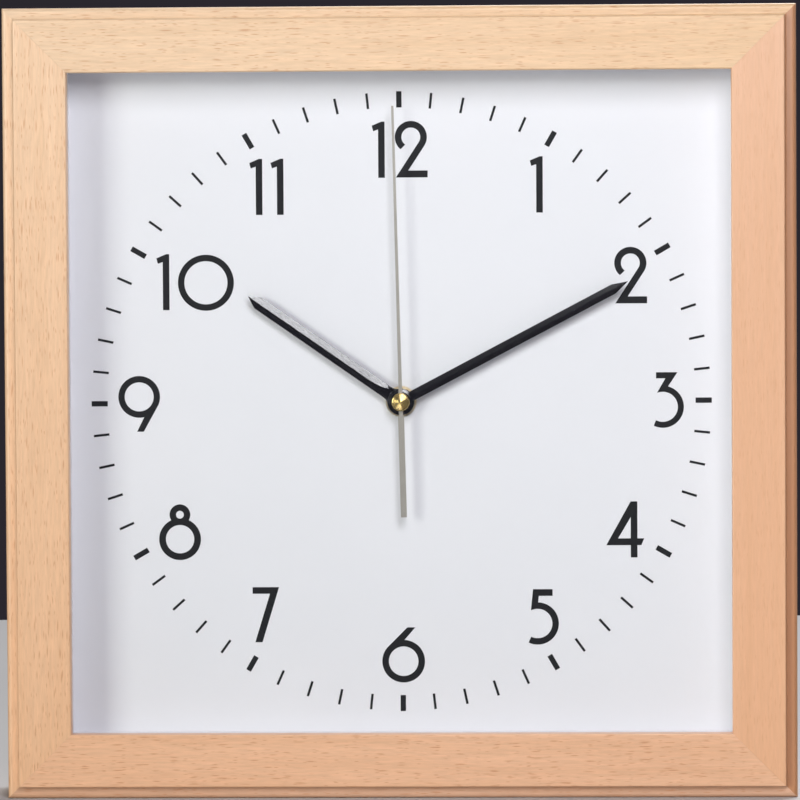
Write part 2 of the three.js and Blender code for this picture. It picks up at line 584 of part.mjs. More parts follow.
function buildTrain() {
  const T = TEETH;
  const rotorModule = moduleOf(rotorSpacing, T.rotorPinion, T.intermediateWheel);
  const secondModule = moduleOf(intermediateSpacing, T.intermediatePinion, T.secondWheel);
  const thirdModule = moduleOf(thirdSpacing, T.secondPinion, T.thirdWheel);
  const centreModule = moduleOf(thirdSpacing, T.thirdPinion, T.centreWheel);
  const motionModule = moduleOf(motionSpacing, T.minutePinion, T.motionWheel);
  const hourModule = moduleOf(motionSpacing, T.motionPinion, T.hourWheel);
  const pivots = () => rod(PIVOT_RADIUS, frontPivotY, bridgeBackY, COARSE);
  const arbor = () => rod(ARBOR_RADIUS, arborFrontY, arborBackY, COARSE);

  const intermediatePhase = meshed(0, T.secondWheel, T.intermediatePinion, INTERMEDIATE_BEARING);
  const rotorPhase = meshed(intermediatePhase, T.intermediateWheel, T.rotorPinion, ROTOR_BEARING);
  const thirdPhase = meshed(0, T.secondPinion, T.thirdWheel, THIRD_BEARING);
  const centrePhase = meshed(thirdPhase, T.thirdPinion, T.centreWheel, THIRD_BEARING + 180);
  const motionPhase = meshed(0, T.minutePinion, T.motionWheel, MOTION_BEARING);
  const hourPhase = meshed(motionPhase, T.motionPinion, T.hourWheel, MOTION_BEARING + 180);

  trainPiece(
    "rotor",
    "steel",
    rotorAxis,
    pivots(),
    arbor(),
    gear(T.rotorPinion, rotorModule, rotorPhase, wheelY.intermediate, PINION_LENGTH),
    rod(
      MAGNET_RADIUS_SHARE * planUnit,
      wheelY.stator - WHEEL_THICKNESS,
      wheelY.stator + WHEEL_THICKNESS / 2,
    ),
  );
  trainPiece(
    "intermediate_wheel",
    "nylon",
    intermediateAxis,
    pivots(),
    arbor(),
    gear(T.intermediatePinion, secondModule, intermediatePhase, wheelY.second, layerPitch),
    gear(T.intermediateWheel, rotorModule, intermediatePhase, wheelY.intermediate, WHEEL_THICKNESS),
  );
  trainPiece(
    "second_wheel",
    "nylon",
    centreAxis,
    rod(SECOND_ARBOR_RADIUS, secondHandY - HAND_EDGE, bridgeBackY, COARSE),
    rod(SECOND_ARBOR_RADIUS * 2, wheelY.second, arborBackY, COARSE),
    gear(T.secondWheel, secondModule, 0, wheelY.second, WHEEL_THICKNESS),
    gear(T.secondPinion, thirdModule, 0, wheelY.third, layerPitch),
  );
  trainPiece(
    "third_wheel",
    "nylon",
    thirdAxis,
    pivots(),
    arbor(),
    gear(T.thirdPinion, centreModule, thirdPhase, wheelY.centre, layerPitch),
    gear(T.thirdWheel, thirdModule, thirdPhase, wheelY.third, WHEEL_THICKNESS),
  );
  const bore = SECOND_ARBOR_RADIUS + RUNNING_PLAY;
  const centreBack = wheelY.centre + WHEEL_THICKNESS / 2;
  const centreHole = rod(hourBore, wheelY.centre - OVERRUN, wheelY.centre + OVERRUN);
  place(
    "centre_wheel",
    "nylon",
    cut(gear(T.centreWheel, centreModule, centrePhase, wheelY.centre, WHEEL_THICKNESS), centreHole),
  );
  const minutePipe = join(
    rod(minutePipeRadius, minuteHandY - HAND_EDGE, centreBack),
    gear(T.minutePinion, motionModule, 0, wheelY.motion, PINION_LENGTH),
  );
  const minuteBore = rod(bore, minuteHandY - OVERRUN, centreBack + OVERRUN);
  place("minute_pipe", "nylon", cut(minutePipe, minuteBore));
  const clutchBack = wheelY.centre - WHEEL_THICKNESS / 2 - SEAT;
  const clutchFront = wheelY.motion + PINION_LENGTH / 2 + SEAT;
  place(
    "clutch_spring",
    "steel",
    turned([
      [minutePipeRadius + SEAT, clutchFront],
      [minutePipeRadius + MINUTE_PIPE_WALL, clutchFront],
      [minutePipeRadius + 2 * MINUTE_PIPE_WALL, clutchBack],
      [minutePipeRadius + MINUTE_PIPE_WALL, clutchBack],
      [minutePipeRadius + SEAT, clutchFront + SEAT],
      [minutePipeRadius + SEAT, clutchFront],
    ]),
  );
  const hourPipe = join(
    rod(hourPipeRadius, hourHandY - HAND_EDGE, wheelY.hour),
    gear(T.hourWheel, hourModule, hourPhase, wheelY.hour, WHEEL_THICKNESS),
  );
  place("hour_wheel", "nylon", cut(hourPipe, rod(hourBore, hourHandY - OVERRUN, wheelY.hour + OVERRUN)));
  trainPiece(
    "motion_wheel",
    "nylon",
    motionAxis,
    rod(ARBOR_RADIUS, frontPivotY, wheelY.motion, COARSE),
    rod(SETTING_SHAFT_RADIUS, arborFrontY, knobY + KNOB_HEIGHT / 2, COARSE),
    gear(T.motionPinion, hourModule, motionPhase, wheelY.hour, layerPitch),
    gear(T.motionWheel, motionModule, motionPhase, wheelY.motion, WHEEL_THICKNESS),
  );
}

function buildMovement() {
  const shell = block([-caseHalf, caseY, caseBottom], [caseHalf, coverY - SEAT, caseTop]);
  const chamber = block([-chamberHalf, chamberY, chamberBottom], [chamberHalf, OVERRUN, chamberTop]);
  const bay = block([-chamberHalf, chamberY, bayBottom], [chamberHalf, OVERRUN, bayTop]);
  const neck = rod(neckRadius, neckY, caseY + CASE_WALL / 2);
  const throughNeck = rod(neckBore, neckY - OVERRUN, chamberY + OVERRUN);
  const sockets = [
    [thirdAxis, PIVOT_RADIUS],
    [intermediateAxis, PIVOT_RADIUS],
    [rotorAxis, PIVOT_RADIUS],
    [motionAxis, ARBOR_RADIUS],
  ].map(([axis, radius]) => {
    const bore = radius + RUNNING_PLAY;
    return at(rod(bore, chamberY - socketDepth, chamberY + OVERRUN, COARSE), axis);
  });
  const leafSlot = LEAF_THICKNESS + 2 * SEAT + CUT_CLEARANCE;
  const slotY = batteryY - LEAF_DEPTH / 2 - CUT_CLEARANCE;
  const slotTop = chamberBottom + CUT_CLEARANCE;
  const slots = [-1, 1].map((end) => {
    const x = [end * chamberHalf, end * (chamberHalf - leafSlot)].sort((a, b) => a - b);
    return block([x[0], slotY, bayTop - CUT_CLEARANCE], [x[1], OVERRUN, slotTop]);
  });
  const fingerNotch = at(
    rod(batteryRadius, -OVERRUN, OVERRUN).rotateX(Math.PI / 2).translate(0, coverY, 0),
    [0, caseBottom],
  );
  const pegs = [
    ...postPlaces.map((spot) => peg(spot, POST_RADIUS_SHARE * planUnit, bridgeFrontY, CASE_WALL)),
    ...statorPegPlaces.map((spot) => peg(spot, pegRadius, statorY, WHEEL_THICKNESS)),
    ...cardPegPlaces.map((spot) => peg(spot, pegRadius, cardY, WHEEL_THICKNESS)),
  ];
  const hollow = cut(shell, chamber, bay, ...slots, fingerNotch);
  place("movement_case", "casing", cut(join(hollow, neck, ...pegs), throughNeck, ...sockets));

  const cover = block([-caseHalf, coverY, bayTop], [caseHalf, caseBackY, caseTop]);
  const rim = chamberHalf - CUT_CLEARANCE;
  const step = block(
    [-rim, coverY - SEAT - CASE_WALL / 3, chamberBottom + CUT_CLEARANCE],
    [rim, coverY + SEAT, chamberTop - CUT_CLEARANCE],
  );
  const knobShaft = rod(SETTING_SHAFT_RADIUS + RUNNING_PLAY, chamberY, OVERRUN, COARSE);
  const coverNotches = [-1, 1].map((end) => {
    const x = [end * (chamberHalf + SEAT), end * (chamberHalf - leafSlot)].sort((a, b) => a - b);
    return block([x[0], chamberY, chamberBottom - SEAT], [x[1], coverY - SEAT / 2, chamberTop + SEAT]);
  });
  place("movement_cover", "casing", cut(join(cover, step), at(knobShaft, motionAxis), ...coverNotches));

  const bridge = plate(outline(inPlan(BRIDGE_SHARES)), bridgeFrontY, CASE_WALL);
  const pivots = [
    [centreAxis, SECOND_ARBOR_RADIUS],
    [thirdAxis, PIVOT_RADIUS],
    [intermediateAxis, PIVOT_RADIUS],
    [rotorAxis, PIVOT_RADIUS],
    [motionAxis, SETTING_SHAFT_RADIUS],
  ].map(([axis, radius]) => at(rod(radius + RUNNING_PLAY, chamberY, OVERRUN, COARSE), axis));
  place("train_bridge", "nylon", cut(bridge, ...pivots, ...postPlaces.map(pinHole)));

  const fluting = Array.from({ length: COARSE }, (_, i) => {
    const angle = (2 * Math.PI * i) / COARSE;
    const groove = rod(KNOB_RADIUS / COARSE, -frameDepth, OVERRUN, COARSE / 2);
    return at(groove, [KNOB_RADIUS * Math.cos(angle), KNOB_RADIUS * Math.sin(angle)]);
  });
  const knob = turned([
    [0, knobY],
    [KNOB_RADIUS, knobY],
    [KNOB_RADIUS, knobY + KNOB_HEIGHT - FACE_ARRIS],
    [KNOB_RADIUS - FACE_ARRIS, knobY + KNOB_HEIGHT],
    [0, knobY + KNOB_HEIGHT],
  ]);
  const socket = rod(SETTING_SHAFT_RADIUS + SEAT, caseBackY, knobY + KNOB_HEIGHT / 2 + SEAT, COARSE);
  const knobMesh = place("setting_knob", "casing", cut(knob, socket, ...fluting));
  knobMesh.position.set(motionAxis[0], 0, motionAxis[1]);
}

function buildMotor() {
  const [left, inner, right, top, arm] = Object.values(STATOR_SHARES).map((share) => share * planUnit);
  const shape = outline([
    [left, -top], [right, -top], [right, -top + arm], [inner, -top + arm],
    [inner, top - arm], [right, top - arm], [right, top], [left, top],
  ]);
  const coilX = (inner + right) / 2;
  const [coreHalf, bore, wound, flange, rim] = Object.values(COIL_SHARES).map((share) => share * planUnit);
  const core = block([coilX - coreHalf, statorY, -top], [coilX + coreHalf, statorY + WHEEL_THICKNESS, top]);
  const holes = [
    at(rod(ROTOR_HOLE_SHARE * planUnit, chamberY, OVERRUN), rotorAxis),
    at(rod(ARBOR_RADIUS * 2, chamberY, OVERRUN, COARSE), intermediateAxis),
    ...statorPegPlaces.map(pinHole),
  ];
  place("stator", "steel", cut(join(plate(shape, statorY, WHEEL_THICKNESS), core), ...holes));

  const length = top - arm - SEAT;
  const spool = turned([
    [bore, -length], [flange, -length], [flange, -length + rim], [wound, -length + rim],
    [wound, length - rim], [flange, length - rim], [flange, length], [bore, length], [bore, -length],
  ]);
  place("coil", "copper", spool.rotateX(Math.PI / 2).translate(coilX, wheelY.stator, 0));

  const cardPlate = block([card.left, cardY, card.bottom], [card.right, cardY + WHEEL_THICKNESS, card.top]);
  place("circuit_board", "circuit", cut(cardPlate, ...cardPegPlaces.map(pinHole)));
  const cardBack = cardY + WHEEL_THICKNESS + SEAT;
  const chipRadius = CHIP_RADIUS_SHARE * planUnit;
  const chip = turned([
    [0, cardBack], [chipRadius, cardBack], [chipRadius * Math.SQRT1_2, cardBack + chipRadius / 4],
    [0, cardBack + chipRadius / 3],
  ]);
  place("driver_chip", "rubber", at(chip, [card.left + 2 * chipRadius, card.middle]));
  const canRadius = chipRadius / 3;
  const canHalf = chipRadius;
  const can = rod(canRadius, -canHalf, canHalf, COARSE).rotateZ(Math.PI / 2);
  const canX = card.left + 3 * chipRadius + canHalf + pegRadius;
  place("quartz_crystal", "silver", can.translate(canX, cardBack + canRadius, card.middle));
}

function buildBattery() {
  const half = BATTERY_LENGTH / 2;
  const nubY = half - BATTERY_NUB_LENGTH;
  const rim = BATTERY_NUB_LENGTH / 2;
  const cell = turned([
    [0, -half], [batteryRadius - rim, -half], [batteryRadius, -half + rim], [batteryRadius, nubY - rim],
    [batteryRadius - rim, nubY], [BATTERY_NUB_RADIUS, nubY], [BATTERY_NUB_RADIUS, half], [0, half],
  ]);
  place("battery", "battery", cell.rotateZ(-Math.PI / 2).translate(0, batteryY, batteryZ));

  const room = LEAF_ROOM - LEAF_THICKNESS - CUT_CLEARANCE;
  const low = bayBottom + SEAT;
  const high = bayTop - BATTERY_PLAY;
  const wall = chamberHalf - SEAT;
  const bulgeHalf = BATTERY_NUB_RADIUS * 2;
  const bulge = [[0, low], [0, batteryZ - bulgeHalf], [room, batteryZ], [0, batteryZ + bulgeHalf]];
  const strip = (end, tail) => {
    const front = bulge.map(([x, z]) => [end * (wall - LEAF_THICKNESS - x), z]);
    const back = bulge.map(([x, z]) => [end * (wall - x), z]).reverse();
    const points = [...front, ...tail.map(([x, z]) => [end * x, z]), ...back];
    return plate(outline(end > 0 ? points.reverse() : points), batteryY - LEAF_DEPTH / 2, LEAF_DEPTH);
  };
  const positiveTail = [
    [wall - LEAF_THICKNESS, high], [wall - LEAF_THICKNESS, card.middle], [wall, card.middle], [wall, high],
  ];
  place("contact_positive", "steel", strip(1, positiveTail));
  const roof = chamberTop - SEAT;
  const cardReach = card.left + LEAF_DEPTH;
  const negativeTail = [
    [wall - LEAF_THICKNESS, high], [wall - LEAF_THICKNESS, roof - LEAF_THICKNESS],
    [-cardReach, roof - LEAF_THICKNESS], [-cardReach, roof], [wall, roof], [wall, high],
  ];
  place("contact_negative", "steel", strip(-1, negativeTail));
}

// A ridged blade along +Z with a point, its back at y and two facets that meet in front
function blade(y, length, width, point) {
  const front = y - HAND_EDGE;
  const ridge = front - HAND_RISE;
  const half = width / 2;
  const shoulder = length - point;
  const edges = [[-half, 0], [half, 0], [-half, shoulder], [half, shoulder], [0, length]];
  const points = edges.flatMap(([x, z]) => [new THREE.Vector3(x, y, z), new THREE.Vector3(x, front, z)]);
  points.push(new THREE.Vector3(0, ridge, 0), new THREE.Vector3(0, ridge, shoulder));
  return new ConvexGeometry(points);
}

// The blade's root, where the ridge turns into a flat that widens to the boss
function bladeRoot(y, width) {
  const front = y - HAND_EDGE;
  const flat = front - HAND_RISE;
  const stations = ROOT_SHARES.map((shares) => shares.map((share) => (share * width) / 2));
  const section = ([z, edge, top]) =>
    [-1, 1].flatMap((side) => [
      new THREE.Vector3(side * edge, y, z),
      new THREE.Vector3(side * edge, front, z),
      new THREE.Vector3(side * top, flat, z),
    ]);
  return stations.slice(1).map((station, index) =>
    new ConvexGeometry([stations[index], station].flatMap(section)));
}

function buildHands() {
  const turn = (angle) => {
    const group = new THREE.Group();
    group.rotation.y = THREE.MathUtils.degToRad(angle);
    clock.add(group);
    return group;
  };
  const boss = (y, radius) =>
    turned([
      [0, y - BOSS_THICKNESS],
      [radius * BOSS_FLAT_SHARE, y - BOSS_THICKNESS],
      [radius - HAND_EDGE / 2, y - BOSS_THICKNESS + BOSS_SLOPE],
      [radius, y - BOSS_THICKNESS + BOSS_SLOPE + HAND_EDGE / 2],
      [radius, y],
      [0, y],
    ], 2 * FINE);
  const handed = (y, margin, width, point, hole) => {
    const main = blade(y, sightHalf - margin, width, point);
    const body = join(main, ...bladeRoot(y, width), boss(y, BOSS_RADIUS));
    return cut(body, rod(hole, y - OVERRUN, y + OVERRUN));
  };
  const hour = handed(hourHandY, HOUR_TIP_MARGIN, HOUR_WIDTH, HOUR_POINT, hourPipeRadius + SEAT);
  place("hour_hand", "black", hour, turn(HOUR_ANGLE));
  const minute = handed(minuteHandY, MINUTE_TIP_MARGIN, MINUTE_WIDTH, MINUTE_POINT, minutePipeRadius + SEAT);
  place("minute_hand", "black", minute, turn(MINUTE_ANGLE));

  const tip = sightHalf - SECOND_TIP_MARGIN;
  const pointer = outline([
    [-TAIL_WIDTH / 2, -TAIL_LENGTH], [TAIL_WIDTH / 2, -TAIL_LENGTH], [TAIL_WIDTH / 2, -TAIL_NECK_LENGTH],
    [TAIL_NECK_WIDTH / 2, -TAIL_NECK_LENGTH], [TAIL_NECK_WIDTH / 2, 0],
    [SECOND_ROOT_WIDTH / 2, 0], [SECOND_TIP_WIDTH / 2, tip], [-SECOND_TIP_WIDTH / 2, tip],
    [-SECOND_ROOT_WIDTH / 2, 0], [-TAIL_NECK_WIDTH / 2, 0],
    [-TAIL_NECK_WIDTH / 2, -TAIL_NECK_LENGTH], [-TAIL_WIDTH / 2, -TAIL_NECK_LENGTH],
  ]);
  const group = turn(SECOND_ANGLE);
  const strip = plate(pointer, secondHandY - HAND_EDGE, HAND_EDGE);
  const collar = rod(SECOND_BOSS_RADIUS, secondHandY - HAND_EDGE, secondHandY + HAND_GAP / 2);
  const arborHole = rod(SECOND_ARBOR_RADIUS + SEAT, secondHandY - OVERRUN, secondHandY + OVERRUN, COARSE);
  place("second_hand", "silver", cut(join(strip, collar), arborHole), group);
  const capBack = secondHandY - HAND_EDGE - SEAT;
  const capFront = capBack - CAP_HEIGHT;
  const cap = turned([
    [0, capFront],
    [CAP_RADIUS - CAP_ARRIS, capFront + CAP_CROWN],
    [CAP_RADIUS - CAP_ARRIS / 3, capFront + CAP_CROWN + CAP_ARRIS / 3],
    [CAP_RADIUS, capFront + CAP_CROWN + CAP_ARRIS],
    [CAP_RADIUS, capBack],
    [0, capBack],
  ], FINE);
  place("hand_cap", "brass", cap, group);
}

buildFrame();
buildHanger();
buildDial();
buildTrain();
buildMovement();
buildMotor();
buildBattery();
buildHands();

export default clock;
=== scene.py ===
"""The looks of a square wall clock in a beech frame, in metres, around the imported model."""

import math

import bmesh
import bpy
from mathutils import Matrix, Vector


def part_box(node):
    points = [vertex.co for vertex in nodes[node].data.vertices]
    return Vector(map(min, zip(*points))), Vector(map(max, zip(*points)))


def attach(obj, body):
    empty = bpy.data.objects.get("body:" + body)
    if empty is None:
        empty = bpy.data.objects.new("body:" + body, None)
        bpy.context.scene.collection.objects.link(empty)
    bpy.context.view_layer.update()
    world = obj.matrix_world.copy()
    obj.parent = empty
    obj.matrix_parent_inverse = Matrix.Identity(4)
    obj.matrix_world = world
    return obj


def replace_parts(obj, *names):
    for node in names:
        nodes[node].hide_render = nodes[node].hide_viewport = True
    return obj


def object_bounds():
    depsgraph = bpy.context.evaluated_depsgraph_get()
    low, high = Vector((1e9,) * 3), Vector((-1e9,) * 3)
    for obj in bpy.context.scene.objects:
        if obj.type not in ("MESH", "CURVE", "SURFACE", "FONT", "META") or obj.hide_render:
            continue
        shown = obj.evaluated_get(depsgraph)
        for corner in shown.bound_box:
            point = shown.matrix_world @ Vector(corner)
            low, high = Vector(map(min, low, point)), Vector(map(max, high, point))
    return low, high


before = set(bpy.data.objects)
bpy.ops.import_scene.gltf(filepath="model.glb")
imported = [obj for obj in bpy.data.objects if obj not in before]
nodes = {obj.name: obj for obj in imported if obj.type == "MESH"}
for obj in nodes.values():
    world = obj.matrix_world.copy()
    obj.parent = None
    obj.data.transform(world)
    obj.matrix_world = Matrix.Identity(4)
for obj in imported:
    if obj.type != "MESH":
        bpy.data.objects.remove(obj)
cad_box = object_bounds()
MM = 0.001

# The middle of the frame's front; the hands turn about the line along the depth through it
FRONT = Vector((0, cad_box[0][1], (cad_box[0][2] + cad_box[1][2]) / 2))

# Camera: its place about the front's middle, and the point that it looks at
EYE_AZIMUTH, EYE_HEIGHT, EYE_ROLL = math.radians(1.905), math.radians(2.4), math.radians(-0.328)
EYE_REACH = 1.8
AIM = Vector((0.000206, -0.045, -0.142582))
FOCAL, SENSOR_WIDTH, FAR_END = 214.44, 36, 50

eye = FRONT + EYE_REACH * Vector((
    math.sin(EYE_AZIMUTH) * math.cos(EYE_HEIGHT),
    -math.cos(EYE_AZIMUTH) * math.cos(EYE_HEIGHT),
    math.sin(EYE_HEIGHT),
))
ahead = (AIM - eye).normalized()
level = ahead.cross(Vector((0, 0, 1))).normalized()
above = level.cross(ahead)
right = level * math.cos(EYE_ROLL) + above * math.sin(EYE_ROLL)
up = above * math.cos(EYE_ROLL) - level * math.sin(EYE_ROLL)
camera = bpy.data.objects.new("camera", bpy.data.cameras.new("camera"))
camera.matrix_world = Matrix((
    (right.x, up.x, -ahead.x, eye.x),
    (right.y, up.y, -ahead.y, eye.y),
    (right.z, up.z, -ahead.z, eye.z),
    (0, 0, 0, 1),
))
camera.data.lens = FOCAL
camera.data.sensor_width = SENSOR_WIDTH
camera.data.clip_end = FAR_END
bpy.context.scene.collection.objects.link(camera)
bpy.context.scene.camera = camera
bpy.context.scene.view_settings.view_transform = "Standard"


# Light
def panel(name, across, upward, wide, high, glow, reach, tint=(1, 1, 1), behind=False):
    """A soft light that faces along the depth. Its place and size are slopes seen from the dial's middle, and
    glow is its power over its area."""
    data = bpy.data.lights.new(name, "AREA")
    data.shape = "RECTANGLE"
    data.size, data.size_y = wide * reach, high * reach
    data.energy = glow * data.size * data.size_y
    data.color = tint
    light = bpy.data.objects.new(name, data)
    way = 1 if behind else -1
    light.location = FRONT + Vector((across * reach, way * reach, upward * reach))
    light.rotation_euler = Vector((0, -way, 0)).to_track_quat("-Z", "Z").to_euler()
    light.visible_camera = False
    bpy.context.scene.collection.objects.link(light)


# Over the clock and to its left, for the front; far to the side and behind, for the other views
panel("light_over", across=0.2, upward=0.6, wide=0.52, high=0.62, glow=34.6, reach=0.86,
      tint=(0.968, 0.955, 1))
panel("light_left", across=-0.9, upward=0.14, wide=0.6, high=0.42, glow=43, reach=2.4, tint=(0.99, 1, 0.92))
panel("light_side", across=-2.5, upward=0.2, wide=1.0, high=1.0, glow=4, reach=1.2)
panel("light_rear", across=0.6, upward=1.25, wide=1.4, high=0.8, glow=45, reach=2.0, behind=True)

ROOM = (0.024, 0.021, 0.027, 1)
world = bpy.data.worlds.new("room")
bpy.context.scene.world = world
world.use_nodes = True
world.node_tree.nodes["Background"].inputs["Color"].default_value = ROOM


# Materials: the two numbers that most values of a noise lie between, and how much rougher a worn patch is
NOISE = (0.3, 0.7)
DULLER = 1.35


class Recipe:
    """A material, built one node at a time around a principled shader."""

    def __init__(self, name):
        self.material = bpy.data.materials.new(name)
        self.material.use_nodes = True
        self.tree = self.material.node_tree
        self.tree.nodes.clear()
        self.output = self.add("ShaderNodeOutputMaterial")
        self.shader = self.add("ShaderNodeBsdfPrincipled")
        self.join(self.shader.outputs["BSDF"], self.output.inputs["Surface"])
        self.place = self.add("ShaderNodeTexCoord").outputs["Object"]

    def add(self, kind, values=None, **settings):
        node = self.tree.nodes.new(kind)
        for key, value in settings.items():
            setattr(node, key, value)
        for key, value in (values or {}).items():
            if isinstance(value, bpy.types.NodeSocket):
                self.join(value, node.inputs[key])
            else:
                node.inputs[key].default_value = value
        return node

    def join(self, source, target):
        self.tree.links.new(source, target)

    def spread(self, scale=(1, 1, 1), turn=(0, 0, 0), shift=(0, 0, 0), place=None):
        values = {"Vector": place or self.place, "Scale": scale, "Rotation": turn, "Location": shift}
        return self.add("ShaderNodeMapping", values).outputs[0]

    def noise(self, place, scale=1.0, detail=3.0, rough=0.5, warp=0.0):
        values = {"Vector": place, "Scale": scale, "Detail": detail, "Roughness": rough, "Distortion": warp}
        return self.add("ShaderNodeTexNoise", values).outputs[0]

    def span(self, value, low, high, to_low=0.0, to_high=1.0, smooth=False):
        """The value's place between low and high, as a number between to_low and to_high."""
        values = {"Value": value, "From Min": low, "From Max": high, "To Min": to_low, "To Max": to_high}
        kind = "SMOOTHSTEP" if smooth else "LINEAR"
        return self.add("ShaderNodeMapRange", values, interpolation_type=kind).outputs[0]

    def maths(self, kind, first, second=0.0):
        return self.add("ShaderNodeMath", {0: first, 1: second}, operation=kind).outputs[0]

    def blend(self, share, first, second, kind="MIX"):
        """Two colours mixed. The node's inputs 0, 6 and 7 are the second one's share and the two colours."""
        node = self.add("ShaderNodeMix", data_type="RGBA", blend_type=kind)
        for index, value in ((0, share), (6, first), (7, second)):
            if isinstance(value, bpy.types.NodeSocket):
                self.join(value, node.inputs[index])
            elif index:
                node.inputs[index].default_value = (*value, 1)
            else:
                node.inputs[index].default_value = value
        return node.outputs[2]

    def bump(self, height, strength, depth):
        values = {"Height": height, "Strength": strength, "Distance": depth}
        return self.add("ShaderNodeBump", values).outputs[0]

    def set(self, **inputs):
        for key, value in inputs.items():
            socket = self.shader.inputs[key.replace("_", " ")]
            if isinstance(value, bpy.types.NodeSocket):
                self.join(value, socket)
            else:
                socket.default_value = value
        return self.material


def surface(name, colours, rough, grain=300.0, texture=2500.0, lift=0.15, depth=2e-5, stretch=(1, 1, 1),
            **inputs):
    """A surface whose colour and roughness wander between two values, with a fine texture that catches the
    light. Grain and texture are cells to a metre; lift and depth are the texture's strength and height."""
    r = Recipe(name)
    tone = r.noise(r.spread(stretch), grain, 4.0, 0.6)
    fine = r.noise(r.spread(stretch, shift=(0.3, 0.1, 0.2)), texture, 3.0, 0.6)
    patch = r.noise(r.spread(shift=(0.7, 0.4, 0.9)), grain * 0.23, 3.0, 0.55)
    mixed = r.blend(r.span(tone, *NOISE), *colours)
    wear = r.maths("ADD", r.maths("MULTIPLY", patch, 0.6), r.maths("MULTIPLY", fine, 0.4))
    return r.set(Base_Color=mixed, Roughness=r.span(wear, *NOISE, *rough), Normal=r.bump(fine, lift, depth),
                 **inputs)


# The flat of the outer ledge, where painted shade goes: the span over which it starts, outward from the
# middle, and the spans of depth over which its front and back edges lie
LEDGE_START = (0.1453, 0.1457)
LEDGE_FRONT = (-0.0436, -0.0428)
LEDGE_BACK = (-0.0416, -0.0402)
# Half the length over which a rail's tone changes
TONE_REACH = 0.14
# Shares of the rail's colour in its pale and deep streaks and in its flecks
PALE_SHARE = (1.05, 1.07, 1.1)
DEEP_SHARE = (0.93, 0.89, 0.84)
FLECK_SHARE = (0.72, 0.52, 0.41)
# Cells to a metre of each layer of the grain, along the rail and then across it
WAVE_CELLS = (28, 60, 60)
BROAD_CELLS = (3.5, 40, 40)
STREAK_CELLS = (7, 420, 260)
HAIR_CELLS = (130, 3600, 3600)
SILK_CELLS = (110, 1300, 1300)
# How far the grain strays from straight
GRAIN_LEAN = 0.0022
# The flecks come in three sizes: cells to a metre across the grain and along it, the chance below which a
# cell has none, and a shift of the cells
FLECK_SIZES = ((1200, 140, 0.4, 0.0), (1000, 100, 0.62, 3.7), (1700, 260, 0.5, 7.1))


def scaled(colour, shares):
    return tuple(c * k for c, k in zip(colour, shares))


